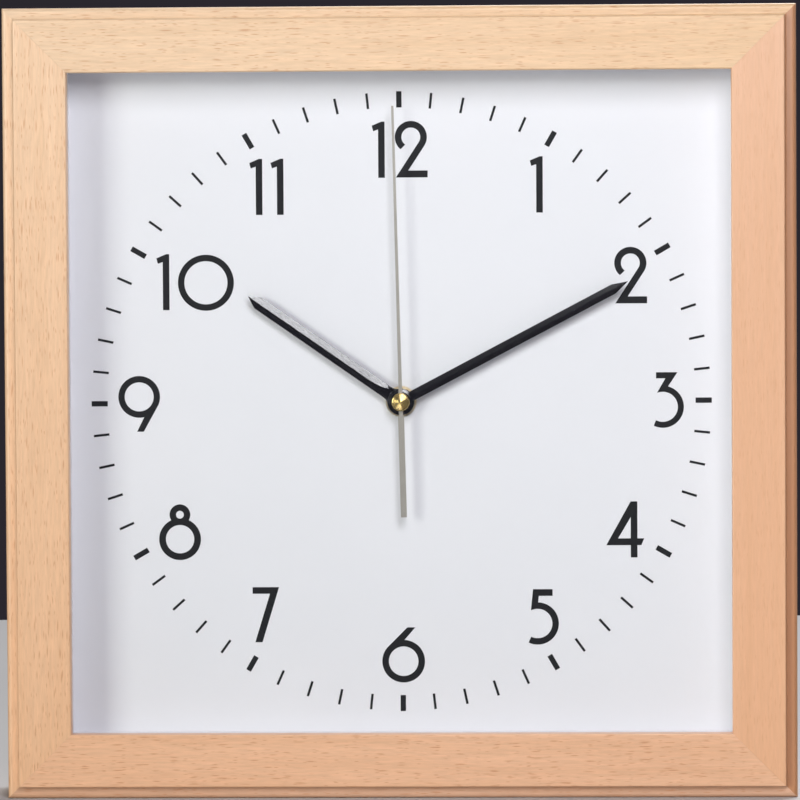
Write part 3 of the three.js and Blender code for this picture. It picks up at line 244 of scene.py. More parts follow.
def beech(name, upright, colour, shift, ends, flecks=0.5, streaks=1.0, ledge_shade=(1, 1, 1)):
    """Clear lacquered beech whose grain runs along the rail, with the short dark flecks of its rays. The tone
    goes from one share of the colour to the other between the rail's low and high end, and the flat of the
    outer ledge is darkened by painted shade, which stands for the shadow that the raised face casts on it."""
    r = Recipe(name)
    turn = (0, math.radians(90), 0) if upright else (0, 0, 0)
    pale, deep, fleck = (scaled(colour, shares) for shares in (PALE_SHARE, DEEP_SHARE, FLECK_SHARE))
    straight = r.spread(turn=turn, shift=shift)
    wave = r.noise(r.spread(WAVE_CELLS, place=straight), 1.0, 2.0, 0.5)
    stray = {"Y": r.maths("MULTIPLY", wave, GRAIN_LEAN), "Z": r.maths("MULTIPLY", wave, -GRAIN_LEAN)}
    lean = r.add("ShaderNodeCombineXYZ", stray).outputs[0]
    along = r.add("ShaderNodeVectorMath", {0: straight, 1: lean}, operation="ADD").outputs[0]
    broad = r.noise(r.spread(BROAD_CELLS, place=along), 1.0, 4.0, 0.5, 0.6)
    streak = r.noise(r.spread(STREAK_CELLS, place=along), 1.0, 5.0, 0.6, 0.25)
    hair = r.noise(r.spread(HAIR_CELLS, place=along), 1.0, 4.0, 0.65)

    specks = []
    for across, length, kept_low, seed in FLECK_SIZES:
        cells = r.add("ShaderNodeTexVoronoi", {
            "Vector": r.spread((length, across, across), shift=(seed, seed, seed), place=along),
            "Scale": 1.0, "Randomness": 1.0,
        })
        chance = r.add("ShaderNodeSeparateColor", {"Color": cells.outputs["Color"]})
        kept = r.span(chance.outputs[0], kept_low, kept_low + 0.3)
        dash = r.span(cells.outputs["Distance"], 0.08, 0.34, 1.0, 0.0, smooth=True)
        specks.append(r.maths("MULTIPLY", dash, kept))
    speck = r.maths("MULTIPLY", r.maths("MAXIMUM", r.maths("MAXIMUM", *specks[:2]), specks[2]), flecks)

    tone = r.maths("ADD", r.maths("MULTIPLY", r.span(streak, *NOISE), 0.55 * streaks),
                   r.maths("MULTIPLY", r.span(broad, *NOISE), 0.45))
    body = r.blend(tone, pale, deep)
    apart = r.add("ShaderNodeSeparateXYZ", {"Vector": r.place})
    middle = FRONT.z if upright else 0.0
    share = r.span(apart.outputs[2 if upright else 0], middle - TONE_REACH, middle + TONE_REACH)
    body = r.blend(1.0, body, r.blend(share, *ends), "MULTIPLY")

    # Painted shade: the flat of the outer ledge is multiplied by the ledge's shade colour, for the shadow of
    # the raised face
    from_middle = apart.outputs[0] if upright else r.maths("SUBTRACT", apart.outputs[2], FRONT.z)
    outside = r.span(r.maths("ABSOLUTE", from_middle), *LEDGE_START)
    past_front = r.span(apart.outputs[1], *LEDGE_FRONT)
    short_of_back = r.span(apart.outputs[1], *LEDGE_BACK, 1.0, 0.0)
    ledge_shade_mask = r.maths("MULTIPLY", outside, r.maths("MULTIPLY", past_front, short_of_back))
    body = r.blend(ledge_shade_mask, body, ledge_shade, "MULTIPLY")

    silk = r.noise(r.spread(SILK_CELLS, place=along), 1.0, 3.0, 0.6)
    depth = 0.02 + 0.07 * flecks
    silken = r.blend(r.span(silk, *NOISE), (1 + depth,) * 3, (1 - depth,) * 3)
    body = r.blend(1.0, body, silken, "MULTIPLY")
    body = r.blend(r.maths("MULTIPLY", r.span(hair, 0.45, 0.8), 0.14), body, fleck)
    body = r.blend(speck, body, fleck)
    wear = r.maths("ADD", r.maths("MULTIPLY", hair, 0.5), r.maths("MULTIPLY", streak, 0.5))
    gloss = r.span(wear, *NOISE, 0.38, 0.5)
    height = r.maths("SUBTRACT", r.maths("MULTIPLY", hair, 0.6), speck)
    return r.set(Base_Color=body, Roughness=gloss, Normal=r.bump(height, 0.1, 5e-5),
                 Coat_Weight=0.15, Coat_Roughness=0.3)


# How much the glass mirrors where it is seen head-on
HEAD_ON_MIRROR = 0.04


def pane(name):
    """Thin clear glass, which only tints and mirrors a little."""
    r = Recipe(name)
    r.tree.nodes.remove(r.shader)
    facing = r.add("ShaderNodeLayerWeight", {"Blend": 0.5}).outputs["Facing"]
    mirrored = r.span(r.maths("POWER", facing, 5.0), 0.0, 1.0, HEAD_ON_MIRROR, 1.0)
    smear = r.span(r.noise(r.place, 40.0, 3.0, 0.6), 0.35, 0.75, 0.0, 0.05)
    through = r.add("ShaderNodeBsdfTransparent", {"Color": (0.985, 0.99, 0.988, 1)})
    mirror = r.add("ShaderNodeBsdfAnisotropic", {"Color": (1, 1, 1, 1), "Roughness": smear})
    both = r.add("ShaderNodeMixShader", {0: mirrored, 1: through.outputs[0], 2: mirror.outputs[0]})
    r.join(both.outputs[0], r.output.inputs["Surface"])
    return r.material


def dial_paint(name):
    """Matt white paint with a very fine tooth."""
    r = Recipe(name)
    cloud = r.noise(r.place, 14.0, 4.0, 0.55)
    tooth = r.noise(r.place, 2600.0, 3.0, 0.6)
    colour = r.blend(r.span(cloud, *NOISE), (0.855, 0.858, 0.9), (0.838, 0.843, 0.887))
    return r.set(Base_Color=colour, Roughness=r.span(tooth, *NOISE, 0.52, 0.66),
                 Normal=r.bump(tooth, 0.06, 1e-5), Specular_IOR_Level=0.35)


def hand_paint(name, base=(0.008, 0.008, 0.011), rough=0.13, shine=0.9):
    """Black enamel on pressed steel, with a little dust."""
    r = Recipe(name)
    flow = r.noise(r.place, 180.0, 3.0, 0.55)
    dust = r.noise(r.spread(shift=(0.2, 0.5, 0.1)), 3200.0, 2.0, 0.5)
    colour = r.blend(r.span(dust, 0.35, 0.75), base, scaled(base, (1.6, 1.6, 1.6)))
    wear = r.maths("ADD", r.maths("MULTIPLY", flow, 0.6), r.maths("MULTIPLY", dust, 0.4))
    gloss = r.span(wear, *NOISE, rough, rough * DULLER)
    return r.set(Base_Color=colour, Roughness=gloss, Normal=r.bump(r.maths("ADD", flow, dust), 0.06, 1e-5),
                 Specular_IOR_Level=shine)


def turned_metal(name, colours, rough, pitch, lift=0.3, depth=2e-5):
    """Metal with the fine rings of the lathe about the hands' axis."""
    r = Recipe(name)
    apart = r.add("ShaderNodeSeparateXYZ", {"Vector": r.place})
    across = r.maths("SUBTRACT", apart.outputs[0], FRONT.x)
    upward = r.maths("SUBTRACT", apart.outputs[2], FRONT.z)
    squares = r.maths("ADD", r.maths("MULTIPLY", across, across), r.maths("MULTIPLY", upward, upward))
    far = r.maths("SQRT", squares)
    rings = r.maths("SINE", r.maths("MULTIPLY", far, 2 * math.pi / pitch))
    grit = r.noise(r.place, 1400.0, 3.0, 0.6)
    uneven = r.maths("ADD", r.maths("MULTIPLY", rings, 0.35), grit)
    body = r.blend(r.span(uneven, 0.2, 0.9), *colours)
    return r.set(Base_Color=body, Metallic=1.0, Roughness=r.span(uneven, 0.2, 0.9, rough, rough * DULLER),
                 Normal=r.bump(uneven, lift, depth))


# The soft edges of the dry cell's band, of the pale line before it and of its two bare ends, as shares of its
# length
BAND_EDGE = (0.7, 0.705)
LINE_START = (0.685, 0.688)
LINE_END = (0.698, 0.7)
TIP_EDGE = (0.968, 0.972)
BASE_EDGE = (0.012, 0.016)


def cell_sleeve(name, low, high):
    """A printed sleeve round a dry cell: a copper band at the positive end and a dark body."""
    r = Recipe(name)
    apart = r.add("ShaderNodeSeparateXYZ", {"Vector": r.place})
    share = r.span(apart.outputs[0], low, high)
    band = r.span(share, *BAND_EDGE)
    line = r.maths("MULTIPLY", r.span(share, *LINE_START), r.span(share, *LINE_END, 1.0, 0.0))
    tip = r.span(share, *TIP_EDGE)
    base = r.span(share, *BASE_EDGE, 1.0, 0.0)
    scuff = r.noise(r.place, 420.0, 4.0, 0.65)
    body = r.blend(band, (0.02, 0.021, 0.024), (0.62, 0.3, 0.13))
    body = r.blend(line, body, (0.75, 0.75, 0.72))
    body = r.blend(r.maths("MAXIMUM", tip, base), body, (0.62, 0.62, 0.6))
    body = r.blend(r.maths("MULTIPLY", r.span(scuff, 0.6, 0.8), 0.2), body, (0.5, 0.48, 0.45))
    shiny = r.maths("MAXIMUM", r.maths("MULTIPLY", band, 0.75), r.maths("MAXIMUM", tip, base))
    return r.set(Base_Color=body, Metallic=shiny, Roughness=r.span(scuff, *NOISE, 0.24, 0.38),
                 Normal=r.bump(scuff, 0.05, 2e-5))


WIRE_PITCH = 0.22 * MM


def wound_wire(name):
    """Enamelled wire wound in close turns along the upright."""
    r = Recipe(name)
    apart = r.add("ShaderNodeSeparateXYZ", {"Vector": r.place})
    turns = r.maths("SINE", r.maths("MULTIPLY", apart.outputs[2], 2 * math.pi / WIRE_PITCH))
    stray = r.noise(r.place, 900.0, 3.0, 0.6)
    wire = r.maths("ADD", r.maths("MULTIPLY", turns, 0.5), stray)
    body = r.blend(r.span(wire, 0.0, 1.0), (0.42, 0.14, 0.05), (0.72, 0.3, 0.12))
    return r.set(Base_Color=body, Metallic=0.85, Roughness=r.span(stray, *NOISE, 0.25, 0.4),
                 Normal=r.bump(wire, 0.5, 6e-5))


def fibre_board(name):
    """Brown hardboard: pressed fibres, one smooth face."""
    r = Recipe(name)
    fibre = r.noise(r.place, 900.0, 5.0, 0.7, 0.8)
    cloud = r.noise(r.place, 30.0, 4.0, 0.6)
    strand = r.noise(r.spread((900, 900, 240), (0, 0.6, 0)), 1.0, 4.0, 0.65)
    body = r.blend(r.span(fibre, *NOISE), (0.155, 0.082, 0.042), (0.245, 0.14, 0.078))
    body = r.blend(r.maths("MULTIPLY", r.span(strand, 0.55, 0.8), 0.5), body, (0.36, 0.235, 0.14))
    body = r.blend(r.maths("MULTIPLY", r.span(cloud, 0.35, 0.75), 0.35), body, (0.12, 0.066, 0.036))
    return r.set(Base_Color=body, Roughness=r.span(fibre, *NOISE, 0.5, 0.7),
                 Normal=r.bump(r.maths("ADD", fibre, strand), 0.2, 6e-5))


TRACK_LENGTH, TRACK_PITCH, TRACK_GAP = 3.1 * MM, 1.3 * MM, 0.14 * MM


def circuit(name):
    """Green solder mask over copper tracks."""
    r = Recipe(name)
    track = r.add("ShaderNodeTexBrick", {
        "Vector": r.spread(turn=(math.radians(90), 0, 0)), "Scale": 1.0, "Mortar Size": TRACK_GAP,
        "Mortar Smooth": 0.2, "Brick Width": TRACK_LENGTH, "Row Height": TRACK_PITCH,
        "Color1": (0.012, 0.11, 0.045, 1), "Color2": (0.016, 0.135, 0.055, 1), "Mortar": (0.05, 0.25, 0.1, 1),
    })
    weave = r.noise(r.place, 1500.0, 3.0, 0.6)
    body = r.blend(r.maths("MULTIPLY", r.span(weave, 0.4, 0.7), 0.3), track.outputs[0], (0.01, 0.08, 0.03))
    return r.set(Base_Color=body, Roughness=r.span(weave, *NOISE, 0.28, 0.4),
                 Normal=r.bump(track.outputs[1], 0.3, 3e-5))


# Each rail's tone at its two ends is a share of its colour. The ledge colour is painted shade: the right and
# bottom ledges are darkened where the raised face shades them from the lamps, and the lit left and top ledges
# get none
rails = {
    "frame_rail_top": beech("beech_top", upright=False, colour=(0.76, 0.552, 0.358), shift=(0.31, 0.12, 0.05),
                            ends=((1.0, 1.0, 1.015), (0.91, 0.855, 0.765)), flecks=0.85),
    "frame_rail_left": beech("beech_left", upright=True, colour=(0.8, 0.523, 0.324), shift=(1.13, 0.4, 0.72),
                             ends=((1.01, 0.935, 0.87), (1.0, 1.08, 1.14)), flecks=0.75),
    "frame_rail_bottom": beech("beech_bottom", upright=False, colour=(0.8, 0.473, 0.284),
                               shift=(2.27, 0.81, 0.33), ends=((1.0, 1.0, 0.99), (1.03, 1.05, 1.09)),
                               flecks=0.75, streaks=1.2, ledge_shade=(0.88, 0.9, 0.97)),
    "frame_rail_right": beech("beech_right", upright=True, colour=(0.755, 0.435, 0.251),
                              shift=(0.77, 1.31, 1.9), ends=((1.025, 0.995, 0.975), (0.935, 0.98, 1.055)),
                              flecks=0.26, streaks=0.6, ledge_shade=(0.69, 0.58, 0.49)),
}
# Looks by the name of a node's material in the model
looks = {
    "spacer_white": surface("spacer_plastic", ((0.86, 0.83, 0.86), (0.83, 0.8, 0.83)), (0.42, 0.56),
                            grain=120.0),
    "glass": pane("pane_glass"),
    "dial_white": dial_paint("dial_paint"),
    "hardboard": fibre_board("hardboard_fibre"),
    "point_steel": surface("point_plate", ((0.55, 0.55, 0.56), (0.46, 0.46, 0.47)), (0.32, 0.5), grain=500.0,
                           texture=3000.0, lift=0.25, depth=3e-5, stretch=(1, 1, 6), Metallic=1.0),
    "hanger_steel": surface("hanger_plate_zinc", ((0.62, 0.6, 0.55), (0.5, 0.49, 0.46)), (0.3, 0.48),
                            grain=260.0, texture=2400.0, lift=0.25, depth=3e-5, Metallic=1.0),
    "screw_steel": surface("screw_zinc", ((0.66, 0.6, 0.44), (0.55, 0.5, 0.38)), (0.26, 0.42), grain=700.0,
                           texture=3500.0, lift=0.25, Metallic=1.0),
    "gasket_rubber": surface("gasket_foam", ((0.03, 0.03, 0.032), (0.05, 0.05, 0.052)), (0.8, 0.95),
                             grain=700.0, texture=1800.0, lift=0.6, depth=1.2e-4),
    "rotor_magnet": surface("magnet_ferrite", ((0.07, 0.07, 0.075), (0.12, 0.12, 0.125)), (0.4, 0.6),
                            grain=900.0, texture=2600.0, lift=0.3, depth=3e-5, Metallic=0.6),
    "nylon": surface("wheel_nylon", ((0.8, 0.79, 0.74), (0.72, 0.71, 0.67)), (0.34, 0.46), grain=350.0,
                     texture=2200.0, lift=0.12, Subsurface_Weight=0.15),
    "contact_steel": surface("contact_nickel", ((0.68, 0.66, 0.6), (0.6, 0.58, 0.54)), (0.22, 0.36),
                             grain=600.0, texture=2600.0, lift=0.2, stretch=(1, 1, 5), Metallic=1.0),
    "case_black": surface("moulded_black", ((0.017, 0.017, 0.018), (0.028, 0.028, 0.03)), (0.42, 0.55),
                          grain=500.0, texture=2100.0, lift=0.45, depth=5e-5),
    "stator_steel": surface("stator_sheet", ((0.4, 0.4, 0.42), (0.5, 0.5, 0.51)), (0.34, 0.5), grain=400.0,
                            texture=2600.0, lift=0.25, depth=3e-5, stretch=(8, 1, 1), Metallic=1.0),
    "coil_copper": wound_wire("coil_wire"),
    "circuit_green": circuit("circuit_mask"),
    "chip_black": surface("chip_resin", ((0.012, 0.012, 0.013), (0.022, 0.022, 0.023)), (0.3, 0.5),
                          grain=800.0, texture=2600.0, lift=0.3, depth=3e-5),
    "crystal_can": surface("crystal_metal", ((0.7, 0.69, 0.66), (0.62, 0.61, 0.59)), (0.2, 0.32), grain=500.0,
                           texture=2600.0, Metallic=1.0),
    "battery_sleeve": cell_sleeve("cell_sleeve", *(p.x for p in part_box("battery"))),
    "hand_black": hand_paint("hand_enamel"),
    "second_silver": surface("second_lacquer", ((0.45, 0.425, 0.385), (0.4, 0.378, 0.343)), (0.34, 0.46),
                             grain=160.0, texture=2600.0, Metallic=0.35),
}
# Looks of the nodes that need one of their own
looks_of_nodes = {
    **rails,
    "hand_cap": turned_metal("brass_cap", ((0.78, 0.59, 0.26), (0.68, 0.49, 0.19)), rough=0.2,
                             pitch=0.22 * MM, lift=0.1, depth=1e-5),
    "dial_washer": turned_metal("brass_washer", ((0.96, 0.85, 0.66), (0.9, 0.77, 0.55)), rough=0.3,
                                pitch=0.35 * MM),
    "dial_nut": turned_metal("brass_nut", ((0.96, 0.8, 0.5), (0.9, 0.7, 0.38)), rough=0.3, pitch=0.3 * MM),
    "minute_pipe": turned_metal("brass_pipe", ((0.86, 0.62, 0.27), (0.76, 0.52, 0.2)), rough=0.28,
                                pitch=0.35 * MM),
}
for name, node in nodes.items():
    slot = node.material_slots[0]
    slot.material = looks_of_nodes.get(name) or looks[slot.material.name.split(".")[0]]


# Pieces of the scene's own: points closer than this are one point
WELD = 1e-7
# Degrees of an arc between two of its points
ARC_STEP = 5


def add_piece(name, mesh):
    piece = bpy.data.objects.new(name, mesh)
    bpy.context.scene.collection.objects.link(piece)
    return piece


def solid_sheet(name, loops, front, back, material):
    """A closed flat body between two depths, cut to loops of points in millimetres from the hands' axis."""
    curve = bpy.data.curves.new(name, "CURVE")
    curve.dimensions = "2D"
    curve.fill_mode = "BOTH"
    curve.extrude = (back - front) / 2
    for loop in loops:
        line = curve.splines.new("POLY")
        line.points.add(len(loop) - 1)
        for point, (x, z) in zip(line.points, loop):
            point.co = (x * MM, z * MM, 0, 1)
        line.use_cyclic_u = True
    flat_shape = add_piece(name + "_curve", curve)
    bpy.context.view_layer.update()
    mesh = bpy.data.meshes.new_from_object(flat_shape)
    bpy.data.objects.remove(flat_shape)
    upright = Matrix(((1, 0, 0, 0), (0, 0, -1, 0), (0, 1, 0, 0), (0, 0, 0, 1)))
    mesh.transform(Matrix.Translation((0, (front + back) / 2, FRONT.z)) @ upright)
    solid = bmesh.new()
    solid.from_mesh(mesh)
    bmesh.ops.remove_doubles(solid, verts=solid.verts, dist=WELD)
    bmesh.ops.recalc_face_normals(solid, faces=solid.faces)
    solid.to_mesh(mesh)
    solid.free()
    mesh.name = name
    mesh.materials.clear()
    mesh.materials.append(material)
    return add_piece(name, mesh)


def arc(x, z, radius, start, end):
    """Points of an arc between two turns, in degrees from the right towards the top."""
    steps = max(2, math.ceil(abs(end - start) / ARC_STEP))
    angles = [math.radians(start + (end - start) * i / steps) for i in range(steps + 1)]
    return [(x + radius * math.cos(a), z + radius * math.sin(a)) for a in angles]


def ring(x, z, radius):
    return arc(x, z, radius, 0, 360 - ARC_STEP)


# Each digit is a list of outlines in millimetres, the first one outside and the rest holes. Its own middle is
# that of its round part, or of its height
DIGITS = {
    "0": [ring(0, 0, 10.7), ring(0, 0, 8.25)],
    "1": [[(1.25, -10.7), (1.25, 10.7), (0.05, 10.7), (-3.67, 9.13), (-3.1, 7.03), (-1.25, 7.7),
           (-1.25, -10.7)]],
    "2": [arc(0, 0, 6.12, 229.6, -34.7) + [(-1.03, -12.76), (6.35, -12.76), (6.35, -15.4), (-5.8, -15.4)]
          + arc(0, 0, 3.59, -34.4, 233.5)],
    "3": [[(-2.56, 13.18), (5.62, 13.18)] + arc(0, 0, 8.02, 75.4, -115.7) + arc(0, 0, 5.73, -117.5, 112.8)
          + [(0.99, 10.85), (-2.56, 10.85)]],
    "4": [[(-1.27, 10.72), (1.27, 10.72), (1.27, -3.42), (3.88, -3.42), (2.77, -6.02), (1.27, -6.02),
           (1.27, -10.72), (-1.27, -10.72), (-1.27, -6.02), (-10.49, -6.02), (-10.49, -5.75)],
          [(-1.27, 4.7), (-1.27, -3.42), (-6.09, -3.42)]],
    "5": [[(-1.72, 13.15), (5.77, 13.15), (5.77, 10.58), (0.46, 10.58)] + arc(0, 0, 8.1, 88.4, -115.8)
          + arc(0, 0, 5.62, -116.2, 115.2) + [(-2.55, 5.3)]],
    "6": [[(1.45, 12.99), (4.55, 12.99)] + arc(0, 0, 8.18, 87.4, -218.9), ring(0, 0, 5.66)],
    "7": [[(-5.08, 10.57), (5.08, 10.57), (-1.38, -10.57), (-4.17, -10.57), (1.57, 8.04), (-5.08, 8.04)]],
    "8": [arc(0, 0, 8.02, 65.2, -245.2) + arc(0, 9.4, 3.97, 212.3, -32.3), ring(0, 0, 5.43),
          ring(0, 9.4, 1.49)],
    "9": [arc(0, 0, 7.99, -76.4, -382.6) + [(1.68, -13.34), (-0.88, -13.34)], ring(0, 0, 5.55)],
}
# Where each numeral's digits stand, in millimetres from the hands' axis
NUMERALS = {
    "1": [("1", 53.15, 82.44)],
    "2": [("2", 87.61, 52.37)],
    "3": [("3", 99.78, -2.54)],
    "4": [("4", 88.66, -49.34)],
    "5": [("5", 51.72, -85.26)],
    "6": [("6", 0.38, -99.59)],
    "7": [("7", -52.28, -81.59)],
    "8": [("8", -85.03, -52.5)],
    "9": [("9", -100.3, 2.11)],
    "10": [("1", -89.64, 45.94), ("0", -74.41, 45.63)],
    "11": [("1", -53.83, 82.1), ("1", -45.73, 82.1)],
    "12": [("1", -7.01, 96.01), ("2", 4.23, 100.77)],
}
# The print: how far its back and front stand off the dial
INK_GAP, INK_RISE = 0.002 * MM, 0.022 * MM
ink = hand_paint("dial_ink", (0.009, 0.0095, 0.012), 0.5, 0.25)
dial_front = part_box("dial_plate")[0].y


def printed(name, loops):
    return solid_sheet(name, loops, dial_front - INK_RISE, dial_front - INK_GAP, ink)


for word, digits in NUMERALS.items():
    loops = [[(x + dx, z + dz) for dx, dz in loop] for digit, x, z in digits for loop in DIGITS[digit]]
    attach(printed("numeral_" + word, loops), "clock")

# The ring of ticks is printed a little to the side of the hands' axis and turned a little, in millimetres and
# degrees
RING_X, RING_Z, RING_TURN = -0.06, -0.27, -0.1
# A tick's inner and outer distance from the ring's centre, and its width
HOUR_TICK = (112.3, 118.5, 2.05)
MINUTE_TICK = (112.4, 118.4, 0.95)


def tick(minute, near, far, width):
    """The corners of a tick that points away from the ring's centre."""
    turn = math.radians(6 * minute + RING_TURN)
    out = (math.sin(turn), math.cos(turn))
    side = (math.cos(turn), -math.sin(turn))
    corners = ((near, -1), (far, -1), (far, 1), (near, 1))
    return [(RING_X + out[0] * d + side[0] * s * width / 2, RING_Z + out[1] * d + side[1] * s * width / 2)
            for d, s in corners]


hour_ticks = [tick(minute, *HOUR_TICK) for minute in range(0, 60, 5)]
minute_ticks = [tick(minute, *MINUTE_TICK) for minute in range(60) if minute % 5]
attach(printed("ticks_hour", hour_ticks), "clock")
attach(printed("ticks_minute", minute_ticks), "clock")


# Marks moulded on the movement's cover: a border, the poles of the cell, the two ways to turn the knob and
# two dots. Their outlines are in millimetres
MARK_FOOT, MARK_RISE = 0.05 * MM, 0.25 * MM
BORDER_INSET, BORDER_WIDTH = 1.0, 0.7
POLE_INSET, POLE_RISE, POLE_ARM, POLE_WIDTH = 6.5, 4.2, 1.6, 0.7
ARROW_RADIUS, ARROW_WIDTH, ARROW_HEAD = 6.9, 0.6, 1.9
ARROW_TURNS = ((100, 155), (80, 25))
DOT_INSET, DOT_RADIUS = 5.5, 1.3


def plus(x, z, arm, thick):
    a, t = arm, thick / 2
    return [(x - t, z - a), (x + t, z - a), (x + t, z - t), (x + a, z - t), (x + a, z + t), (x + t, z + t),
            (x + t, z + a), (x - t, z + a), (x - t, z + t), (x - a, z + t), (x - a, z - t), (x - t, z - t)]


def rectangle(x, z, wide, high):
    return [(x - wide / 2, z - high / 2), (x + wide / 2, z - high / 2), (x + wide / 2, z + high / 2),
            (x - wide / 2, z + high / 2)]


def bent_arrow(x, z, radius, start, end, thick, head):
    """An arc with a head at its end."""
    way = math.copysign(1, end - start)
    barb, tip = math.radians(end), math.radians(end + way * math.degrees(head / radius))
    turns_and_radii = ((barb, radius + head / 2), (tip, radius), (barb, radius - head / 2))
    return (arc(x, z, radius + thick / 2, start, end)
            + [(x + r * math.cos(a), z + r * math.sin(a)) for a, r in turns_and_radii]
            + arc(x, z, radius - thick / 2, end, start))


cover_low, cover_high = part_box("movement_cover")
cover_wide, cover_tall = (cover_high - cover_low).x / MM, (cover_high - cover_low).z / MM
cover_z = ((cover_low + cover_high) / 2 - FRONT).z / MM
knob_low, knob_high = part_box("setting_knob")
knob_x, knob_z = ((knob_low + knob_high) / 2).x / MM, ((knob_low + knob_high) / 2 - FRONT).z / MM
poles_z = cover_z - cover_tall / 2 + POLE_RISE
dots_z = cover_z + cover_tall / 2 - DOT_INSET
cover_marks = [rectangle(0, cover_z, cover_wide - 2 * inset, cover_tall - 2 * inset)
               for inset in (BORDER_INSET, BORDER_INSET + BORDER_WIDTH)]
cover_marks += [plus(cover_wide / 2 - POLE_INSET, poles_z, POLE_ARM, POLE_WIDTH)]
cover_marks += [rectangle(-cover_wide / 2 + POLE_INSET, poles_z, 2 * POLE_ARM, POLE_WIDTH)]
cover_marks += [bent_arrow(knob_x, knob_z, ARROW_RADIUS, start, end, ARROW_WIDTH, ARROW_HEAD)
                for start, end in ARROW_TURNS]
cover_marks += [ring(side * (cover_wide / 2 - DOT_INSET), dots_z, DOT_RADIUS) for side in (1, -1)]
marks = solid_sheet("cover_marks", cover_marks, cover_high.y - MARK_FOOT, cover_high.y + MARK_RISE,
                    looks["case_black"])
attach(marks, "clock")


def cut_copy(node, name, loops, front, back):
    """A piece with a node's own shape, less a sunk outline, to stand for the node."""
    piece = add_piece(name, nodes[node].data.copy())
    cutter = solid_sheet(name + "_cutter", loops, front, back, looks["screw_steel"])
    modifier = piece.modifiers.new("cut", "BOOLEAN")
    modifier.operation = "DIFFERENCE"
    modifier.solver = "EXACT"
    modifier.object = cutter
    bpy.context.view_layer.update()
    shape = bpy.data.meshes.new_from_object(piece.evaluated_get(bpy.context.evaluated_depsgraph_get()))
    piece.modifiers.clear()
    piece.data = shape
    bpy.data.objects.remove(cutter)
    return piece


# The hanger's two screws have a cross recess, each turned its own way. The outline is in millimetres, and the
# cutter starts past the head
CROSS_ARM, CROSS_WIDTH = 1.55, 0.75
CROSS_DEPTH, CUT_PAST = 1.1 * MM, 0.5 * MM

for node, turn in (("hanger_screw_left", 20), ("hanger_screw_right", -35)):
    low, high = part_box(node)
    middle = (low + high) / 2 - FRONT
    x, z = middle.x / MM, middle.z / MM
    a = math.radians(turn)
    cross = [(x + dx * math.cos(a) - dz * math.sin(a), z + dx * math.sin(a) + dz * math.cos(a))
             for dx, dz in plus(0, 0, CROSS_ARM, CROSS_WIDTH)]
    name = "cross_" + node.removeprefix("hanger_")
    screw = cut_copy(node, name, [cross], high.y - CROSS_DEPTH, high.y + CUT_PAST)
    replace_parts(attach(screw, "clock"), node)


# The hands are folded sheet: each blade's ridge runs on to its tip at its full height
HAND_RISE = 0.5 * MM
# Points this near to a hand's far end are its tip
TIP_REACH = 0.01 * MM


def ridged_copy(node, name):
    """A piece with a hand's own shape, whose point is raised to the ridge, to stand for the node."""
    shape = bmesh.new()
    shape.from_mesh(nodes[node].data)
    bmesh.ops.remove_doubles(shape, verts=shape.verts, dist=WELD)
    reach = {v: math.hypot(v.co.x, v.co.z - FRONT.z) for v in shape.verts}
    far = max(reach.values())
    point = [v for v in shape.verts if reach[v] > far - TIP_REACH]
    min(point, key=lambda v: v.co.y).co.y -= HAND_RISE
    bmesh.ops.recalc_face_normals(shape, faces=shape.faces)
    mesh = bpy.data.meshes.new(name)
    shape.to_mesh(mesh)
    shape.free()
    if "custom_normal" in mesh.attributes:
        mesh.attributes.remove(mesh.attributes["custom_normal"])
    mesh.shade_flat()
    mesh.materials.clear()
    mesh.materials.append(looks["hand_black"])
    return add_piece(name, mesh)


for node in ("hour_hand", "minute_hand"):
    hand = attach(ridged_copy(node, node + "_folded"), node)
    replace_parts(hand, node)


# The cap's face is turned in fine grooves, which spread its highlights into wedges
CAP_RADIUS, CAP_ARRIS, CAP_CROWN = 3.4 * MM, 0.5 * MM, 0.12 * MM
GROOVE_PITCH, GROOVE_DEPTH = 0.2 * MM, 0.02 * MM
CAP_SIDES, POINTS_PER_GROOVE = 96, 4
# Degrees of the arris between two of its points
ARRIS_STEP = 15


def turned_piece(name, profile, sides, material):
    """A closed body turned about the hands' axis, from (radius, depth) points that start and end on it."""
    shape = bmesh.new()
    rows = []
    for r, y in profile:
        angles = [2 * math.pi * k / sides for k in range(sides)] if r else [0]
        rows.append([shape.verts.new((r * math.sin(a), y, FRONT.z + r * math.cos(a))) for a in angles])
    for near, far in zip(rows, rows[1:]):
        for k in range(sides):
            n = (k + 1) % sides
            corners = (near[k % len(near)], far[k % len(far)], far[n % len(far)], near[n % len(near)])
            shape.faces.new(list(dict.fromkeys(corners)))
    bmesh.ops.recalc_face_normals(shape, faces=shape.faces)
    mesh = bpy.data.meshes.new(name)
    shape.to_mesh(mesh)
    shape.free()
    mesh.materials.append(material)
    return add_piece(name, mesh)


cap_front, cap_back = (corner.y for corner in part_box("hand_cap"))
flat = CAP_RADIUS - CAP_ARRIS


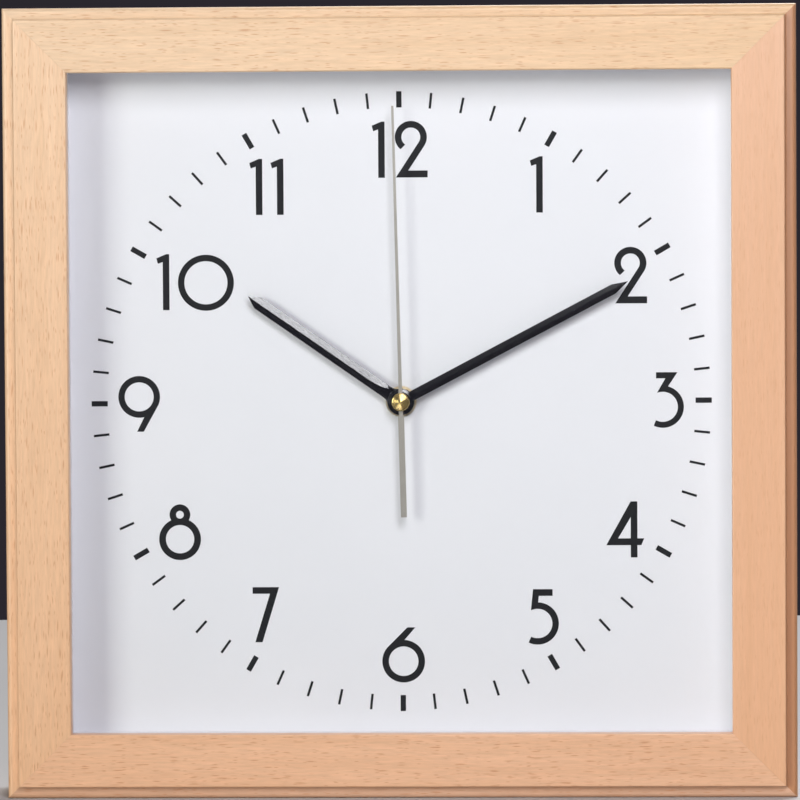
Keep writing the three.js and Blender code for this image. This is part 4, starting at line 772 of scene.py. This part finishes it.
def face_depth(r):
    """The depth of the cap's face, which falls back from its middle and waves with the grooves."""
    wave = GROOVE_DEPTH * (1 - math.cos(2 * math.pi * r / GROOVE_PITCH)) / 2
    return cap_front + CAP_CROWN * r / flat + wave


steps = round(POINTS_PER_GROOVE * flat / GROOVE_PITCH)
profile = [(r, face_depth(r)) for r in (k * GROOVE_PITCH / POINTS_PER_GROOVE for k in range(steps + 1))]
profile += [(flat + CAP_ARRIS * math.sin(a), cap_front + CAP_CROWN + CAP_ARRIS * (1 - math.cos(a)))
            for a in (math.radians(turn) for turn in range(ARRIS_STEP, 91, ARRIS_STEP))]
profile += [(CAP_RADIUS, cap_back), (0, cap_back)]
cap = turned_piece("cap_turned", profile, CAP_SIDES, looks_of_nodes["hand_cap"])
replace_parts(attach(cap, "second_hand"), "hand_cap")


# Floor: a disc just below the clock
FLOOR_RADIUS, FLOOR_GAP = 0.8, 1e-4
FLOOR_RINGS, FLOOR_SIDES = 6, 96


def floor_disc():
    shape = bmesh.new()
    turns = [2 * math.pi * k / FLOOR_SIDES for k in range(FLOOR_SIDES)]
    inner = [shape.verts.new((0, 0, 0))] * FLOOR_SIDES
    for i in range(1, FLOOR_RINGS + 1):
        r = FLOOR_RADIUS * i / FLOOR_RINGS
        outer = [shape.verts.new((r * math.cos(a), r * math.sin(a), 0)) for a in turns]
        for k in range(FLOOR_SIDES):
            n = (k + 1) % FLOOR_SIDES
            corners = (inner[k], outer[k], outer[n], inner[n])
            shape.faces.new(list(dict.fromkeys(corners)))
        inner = outer
    mesh = bpy.data.meshes.new("floor")
    shape.to_mesh(mesh)
    shape.free()
    return bpy.data.objects.new("floor", mesh)


floor = floor_disc()
floor.location = (0, FRONT.y / 2, cad_box[0][2] - FLOOR_GAP)
floor.visible_glossy = False  # the glass then shows the dial clear, as it does in a dark studio
floor.data.materials.append(surface("floor_paper", ((0.58, 0.575, 0.58), (0.555, 0.55, 0.555)), (0.75, 0.85),
                                    grain=3.0, texture=500.0, lift=0.05, depth=1e-4))
bpy.context.scene.collection.objects.link(floor)
